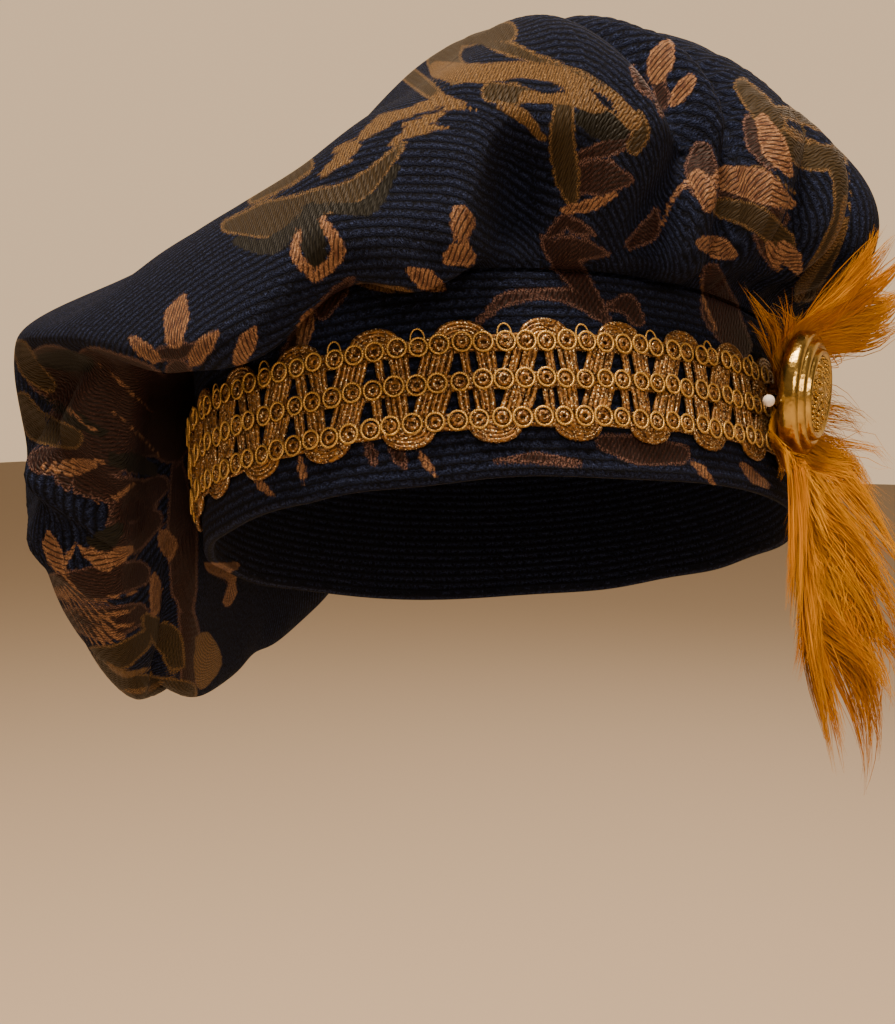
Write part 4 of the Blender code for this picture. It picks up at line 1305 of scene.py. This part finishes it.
for vert in button_bm.verts:
    radius = math.hypot(vert.co.x, vert.co.y)
    if vert.co.z > FACE_LEVEL and radius < FACE_RADIUS:
        turn = math.atan2(vert.co.y, vert.co.x)
        leaf = math.cos(LEAVES * turn + LEAF_CURL * math.sin(radius * CURL_PER_MM))
        leaf *= math.sin(math.pi * radius / FACE_RADIUS)
        boss = math.exp(-(radius / BOSS_RADIUS) ** 2)
        vert.co.z += LEAF_RELIEF * leaf + BOSS_RELIEF * boss
for number in range(GRAINS):
    radius = FACE_RADIUS * GRAIN_REACH * math.sqrt((number + 0.5) / GRAINS)
    turn = number * GOLDEN_ANGLE
    height = GRAIN_LEVEL - GRAIN_FALL * (radius / FACE_RADIUS) ** 2
    grain_radius = GRAIN_RADIUS * GRAIN_SIZES[number % len(GRAIN_SIZES)]
    grain = bmesh.ops.create_icosphere(button_bm, subdivisions=1, radius=grain_radius)
    bmesh.ops.translate(button_bm, verts=grain["verts"],
                        vec=(radius * math.cos(turn), radius * math.sin(turn), height))
facing = Euler((0.0, math.radians(90.0 + BUTTON_LEAN), math.radians(BUTTON_TURN)), 'XYZ')
bmesh.ops.rotate(button_bm, verts=button_bm.verts, cent=(0, 0, 0), matrix=facing.to_matrix())
bmesh.ops.translate(button_bm, verts=button_bm.verts,
                    vec=(BAND_X + BUTTON_OFFSET, BUTTON_FORWARD, BUTTON_HEIGHT))

gilt, tree, inputs = new_material("polished gilt brass", {"Metallic": 1.0, "Roughness": 0.24})
object_place = add_node(tree, "TexCoord").outputs["Object"]
cast_grain = add_node(tree, "TexVoronoi", object_place, CASTING_PER_MM / MM)
tarnish = add_node(tree, "TexNoise", object_place, TARNISH_PER_MM / MM, 2.0)
fill(inputs["Base Color"],
     add_node(tree, "Mix", tarnish, "#8a6a30", "#e2c070", data_type='RGBA'))
fill(inputs["Normal"], add_node(tree, "Bump", inputs={
    "Strength": 0.3, "Distance": 0.2 * MM, "Height": cast_grain.outputs["Distance"]}))
add_piece("metal_button", button_bm, gilt, "gilt_metal", "button")

# %% [markdown]
# ## The plume
# A plume like this one is marabou: a soft shaft with thousands of limp barbs that clump into
# locks. Each barb is one narrow strip of a grid. It leaves the shaft, turns towards the tip
# and joins its lock, and a few stray wisps stand off. The upper fluff fans out over the button.

# %% Grow the plume's barbs
# The shaft from the fluff's tip, under the button, to the hanging tip: x, y, z in millimetres,
# reach of the barbs to the front and back, drop of their tips there, how far the back ones
# stand out
PLUME_SPINE = (
    (114, 26, 70, 9, 10, -4, 2, 0),
    (106, 18, 59, 14, 18, -3, 8, 0),
    (96, 8, 46.5, 18, 20, -2, 9, 1),
    (86.4, -1, 37, 8, 11, 0, 1.5, 3),
    (85.5, -1, 24, 7, 10.5, 4, 7, 4),
    (86.2, -2, 6, 9, 16, 9, 17, 10),
    (86.5, -3, -9, 15, 26, 12, 15, 17),
    (86, -3, -24, 19, 31, 15, 15, 19),
    (85.5, -1, -39, 18, 30, 15, 13, 16),
    (86, 4, -54, 13, 22, 12, 12, 9),
)
# Locks: kind, how many, barbs in each, the sides they take in turn, where on the shaft they
# may root, how far along it they run, how far out
LOCK_KINDS = (
    ("hanging", 62, 60, (-1.0, 1.0), (0.43, 0.84), (0.14, 0.34), (0.15, 1.05)),
    ("fluff", 34, 60, (-1.0, 1.0), (0.40, 0.22), (-0.26, -0.10), (0.20, 1.10)),
    ("spikes", 12, 20, (-1.0,), (0.37, 0.31), (-0.09, -0.02), (1.6, 3.2)),
    ("tuft", 8, 60, (-1.0,), (0.43, 0.48), (0.03, 0.12), (1.2, 2.2)),
    ("behind", 20, 60, (1.0,), (0.35, 0.47), (-0.02, 0.05), (2.0, 3.1)),
    ("falling", 16, 60, (1.0,), (0.24, 0.34), (0.02, 0.09), (0.9, 1.4)),
    ("wisps", 26, 5, (1.0,), (0.30, 0.56), (0.10, 0.30), (1.1, 1.7)),
)
BARB_STEPS = 9
BARB_LENGTHS = (0.55, 1.08)
BARB_WIDTH = 0.42
WISP_WIDTH = 0.6
# How far barbs of a lock part: along the shaft as a share of it, and across the plume
ROOT_SPREAD = 0.022
FAN_SPREAD = 0.22
# How far a lock lifts off the sheet and its tip bends, and how far each barb strays from it
LOCK_LIFT = (0.3, 4.5)
BARB_LIFT = 0.9
LOCK_BEND = 2.2
WISP_BEND = 6.0
BARB_BEND = 0.42


def plume_point(along, across):
    """Points on the plume's sheet: along 0 to 1 down the shaft, across -1 front to 1 back."""
    table = np.array(PLUME_SPINE, dtype=float)
    knots = np.linspace(0.0, 1.0, len(table))
    slope = np.gradient(table, knots, axis=0)
    inner = np.clip(along, 0.0, 1.0)
    at = np.minimum((inner * (len(table) - 1)).astype(int), len(table) - 2)
    t = (inner * (len(table) - 1) - at)[..., None]
    row = hermite(table[at], table[at + 1], slope[at] * knots[1], slope[at + 1] * knots[1], t)
    beyond = (along - inner)[..., None]
    row = row + beyond * np.where(beyond < 0, slope[0], slope[-1])
    reach = np.abs(across)
    side = np.sign(across)
    width = np.where(side < 0, row[..., 3], row[..., 4]) * reach
    drop = np.where(side < 0, row[..., 5], row[..., 6]) * reach ** 1.5
    x = row[..., 0] + np.where(side > 0, row[..., 7], 0.0) * reach
    return np.stack([x, row[..., 1] + side * width, row[..., 2] - drop], axis=-1)


chance = np.random.default_rng(11)
steps = np.linspace(0.0, 1.0, BARB_STEPS)[None, :]
tufts = []
for kind, locks, count, sides, roots, runs, reaches in LOCK_KINDS:
    loose = kind == "wisps"
    for number in range(locks):
        root = roots[0] + (roots[1] - roots[0]) * (number + chance.uniform(0.0, 1.0)) / locks
        run = chance.uniform(*runs)
        side = sides[number % len(sides)]
        reach = chance.uniform(*reaches)
        length = chance.uniform(*BARB_LENGTHS, count)[:, None]
        spread = chance.normal(0.0, 1.0, (count, 2, 1))
        along = root + run * length * steps
        along = along + ROOT_SPREAD * spread[:, 0] * (1.05 - steps ** 2)
        across = side * reach * (length * steps) ** 1.1
        across = across + FAN_SPREAD * spread[:, 1] * (1.0 - steps ** 2) * (0.3 + steps)
        points = plume_point(along, across)
        lift = chance.uniform(*LOCK_LIFT) * np.sin(1.9 * steps)
        lift = lift + np.abs(chance.normal(0.0, BARB_LIFT, (count, 1))) * steps
        points[..., 0] += lift + 0.5
        bend = chance.normal(0.0, 1.0, 3) * (WISP_BEND if loose else LOCK_BEND)
        stray = chance.normal(0.0, BARB_BEND, (count, 1, 3))
        points += (bend + stray) * (steps ** 2.2)[..., None]
        tufts.append((points, np.full(count, WISP_WIDTH if loose else 1.0),
                      np.full(count, chance.random())))
barb_points, thickness, lock_shade = (
    np.concatenate([tuft[part] for tuft in tufts]) for part in range(3))
print(len(barb_points), "barbs in", len(tufts), "locks")

# %% Trim the barbs and keep them off the button and the braid
STRAY = 0.012
# Barbs pass behind the button's back, past its edge they come forward again
BUTTON_BACK = 3.4
BUTTON_CLEAR = 17.2
BRAID_CLEAR = 3.4
BRAID_SLOPE = 0.02
# Barbs turn their flat side about this way, each with a stray of its own
BARB_FACING = (2.0, -1.0, 0.0)
FACING_STRAY = 0.7
BARB_WELD = 0.00001

# Barbs that stray far beyond the solids are trimmed away, as a milliner would
leaning = barb_points @ np.array(WORN_LEAN).T * MM
low, high = np.array(cad_box[0]) - STRAY, np.array(cad_box[1]) + STRAY
kept = np.all((leaning > low) & (leaning < high), axis=(1, 2))
barb_points, thickness, lock_shade = barb_points[kept], thickness[kept], lock_shade[kept]
count = len(barb_points)
print("trimmed", np.sum(~kept), "stray barbs")

over_button = barb_points[..., 2] - BUTTON_HEIGHT
from_button = np.hypot(barb_points[..., 1] - BUTTON_FORWARD, over_button)
button_back = BAND_X + BUTTON_OFFSET - BUTTON_BACK
button_back = button_back + over_button * math.tan(math.radians(BUTTON_LEAN))
button_back += np.maximum(from_button - BUTTON_CLEAR, 0.0) ** 1.5
braid_face = BAND_X + BRAID_CLEAR + BRAID_SLOPE * barb_points[..., 2]
barb_points[..., 0] = np.maximum(np.minimum(barb_points[..., 0], button_back), braid_face)
tangents = np.gradient(barb_points, axis=1)
facing = chance.normal(0.0, FACING_STRAY, (count, 1, 3)) + np.array(BARB_FACING)
flat_side = np.cross(tangents, facing)
flat_side /= np.maximum(np.linalg.norm(flat_side, axis=2, keepdims=True), 1e-6)
taper = BARB_WIDTH * (1.06 - steps ** 2)[..., None] * thickness[:, None, None]


def place_barb(u, v):
    barb, edge = u // 2, u % 2
    points = barb_points[barb, v] + flat_side[barb, v] * (taper[barb, v] * (edge - 0.5)[:, None])
    marks = np.stack([v / (BARB_STEPS - 1), (barb * SEED_STEP) % 1.0, lock_shade[barb]], axis=1)
    return points, {"barb": marks}


plume_bm = bent_grid(2 * count - 1, BARB_STEPS - 1, place_barb, weld=BARB_WELD,
                     keep=lambda column, row: column % 2 == 0)
print(count, "barbs")

# %% [markdown]
# ## Dyed marabou with painted glow
# Marabou barbs are matte and let light through, so a plume glows where it is thin and turns a
# deep orange near the shaft. Both are painted into the colour here: a deep orange at the root as
# painted shade, running to a paler gold at the tip as painted glow. The colour also differs a
# little from barb to barb.

# %% Dye the plume and paint its shade and glow
marabou, tree, inputs = new_material("dyed marabou with painted glow", {
    "Roughness": 0.75, "Sheen Weight": 0.1, "Sheen Tint": "#ffd27a", "Specular IOR Level": 0.2})
barb_axes = stored(tree, "barb")[1]
# Painted shade and glow: each barb runs from a deep orange at its root to a paler gold at its tip
tip = add_node(tree, "Math", barb_axes["X"], 0.9, operation='POWER')
barb_shade = add_node(tree, "Math", barb_axes["Y"], 0.35, operation='MULTIPLY')
deep = add_node(tree, "Math", barb_axes["Z"], 0.45, operation='MULTIPLY')
pale = add_node(tree, "Math", 1.0, barb_axes["Z"], operation='SUBTRACT')
pale = add_node(tree, "Math", pale, barb_axes["X"], operation='MULTIPLY')
pale = add_node(tree, "Math", pale, 0.3, operation='MULTIPLY')
dye_and_glow = add_node(tree, "Mix", tip, "#763200", "#c08000", data_type='RGBA')
for share, tone in ((barb_shade, "#dc9e04"), (deep, "#9a5006"), (pale, "#cf9a20")):
    dye_and_glow = add_node(tree, "Mix", share, dye_and_glow, tone, data_type='RGBA')
fill(inputs["Base Color"], dye_and_glow)
add_piece("marabou_plume", plume_bm, marabou, "yellow_feather", "plume")

# %% [markdown]
# ## The hat pin
# The pin is one solid piece already: a wire with a round glass head. Only its finish is made
# here, a white glass with a faint cloud in it, and dull steel beyond the head's reach.

# %% Finish the pin
HEAD_REACH = 2.8 * MM
CLOUDS_PER_MM = 0.5

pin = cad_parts["hat_pin"]
# Most points of the pin are on its round head, so their median lies in it
head_centre = np.median([tuple(vert.co) for vert in pin.data.vertices], axis=0)

white_glass, tree, inputs = new_material("white glass head", {
    "Roughness": 0.18, "Coat Weight": 0.5})
object_place = add_node(tree, "TexCoord").outputs["Object"]
cloud = add_node(tree, "TexNoise", object_place, CLOUDS_PER_MM / MM, 2.0)
from_head = add_node(tree, "VectorMath", object_place, head_centre, operation='DISTANCE')
wire = add_node(tree, "Math", from_head, HEAD_REACH, operation='GREATER_THAN')
glass_colour = add_node(tree, "Mix", cloud, "#ded6ca", "#fbf7f0", data_type='RGBA')
fill(inputs["Base Color"],
     add_node(tree, "Mix", wire, glass_colour, "#5c5046", data_type='RGBA'))
fill(inputs["Metallic"], wire)
pin.data.materials.clear()
pin.data.materials.append(white_glass)
print("pin finished as", white_glass.name)

# %% [markdown]
# ## Last look
# The box of what was made is printed beside the box of the solids. The looks may not
# change the size of the hat.

# %% Print both boxes and finish
made_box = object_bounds()
boxes = {"cad": [list(corner) for corner in cad_box],
         "visual": [list(corner) for corner in made_box]}
for name, corners in boxes.items():
    print(name, [round(c, 4) for corner in corners for c in corner])
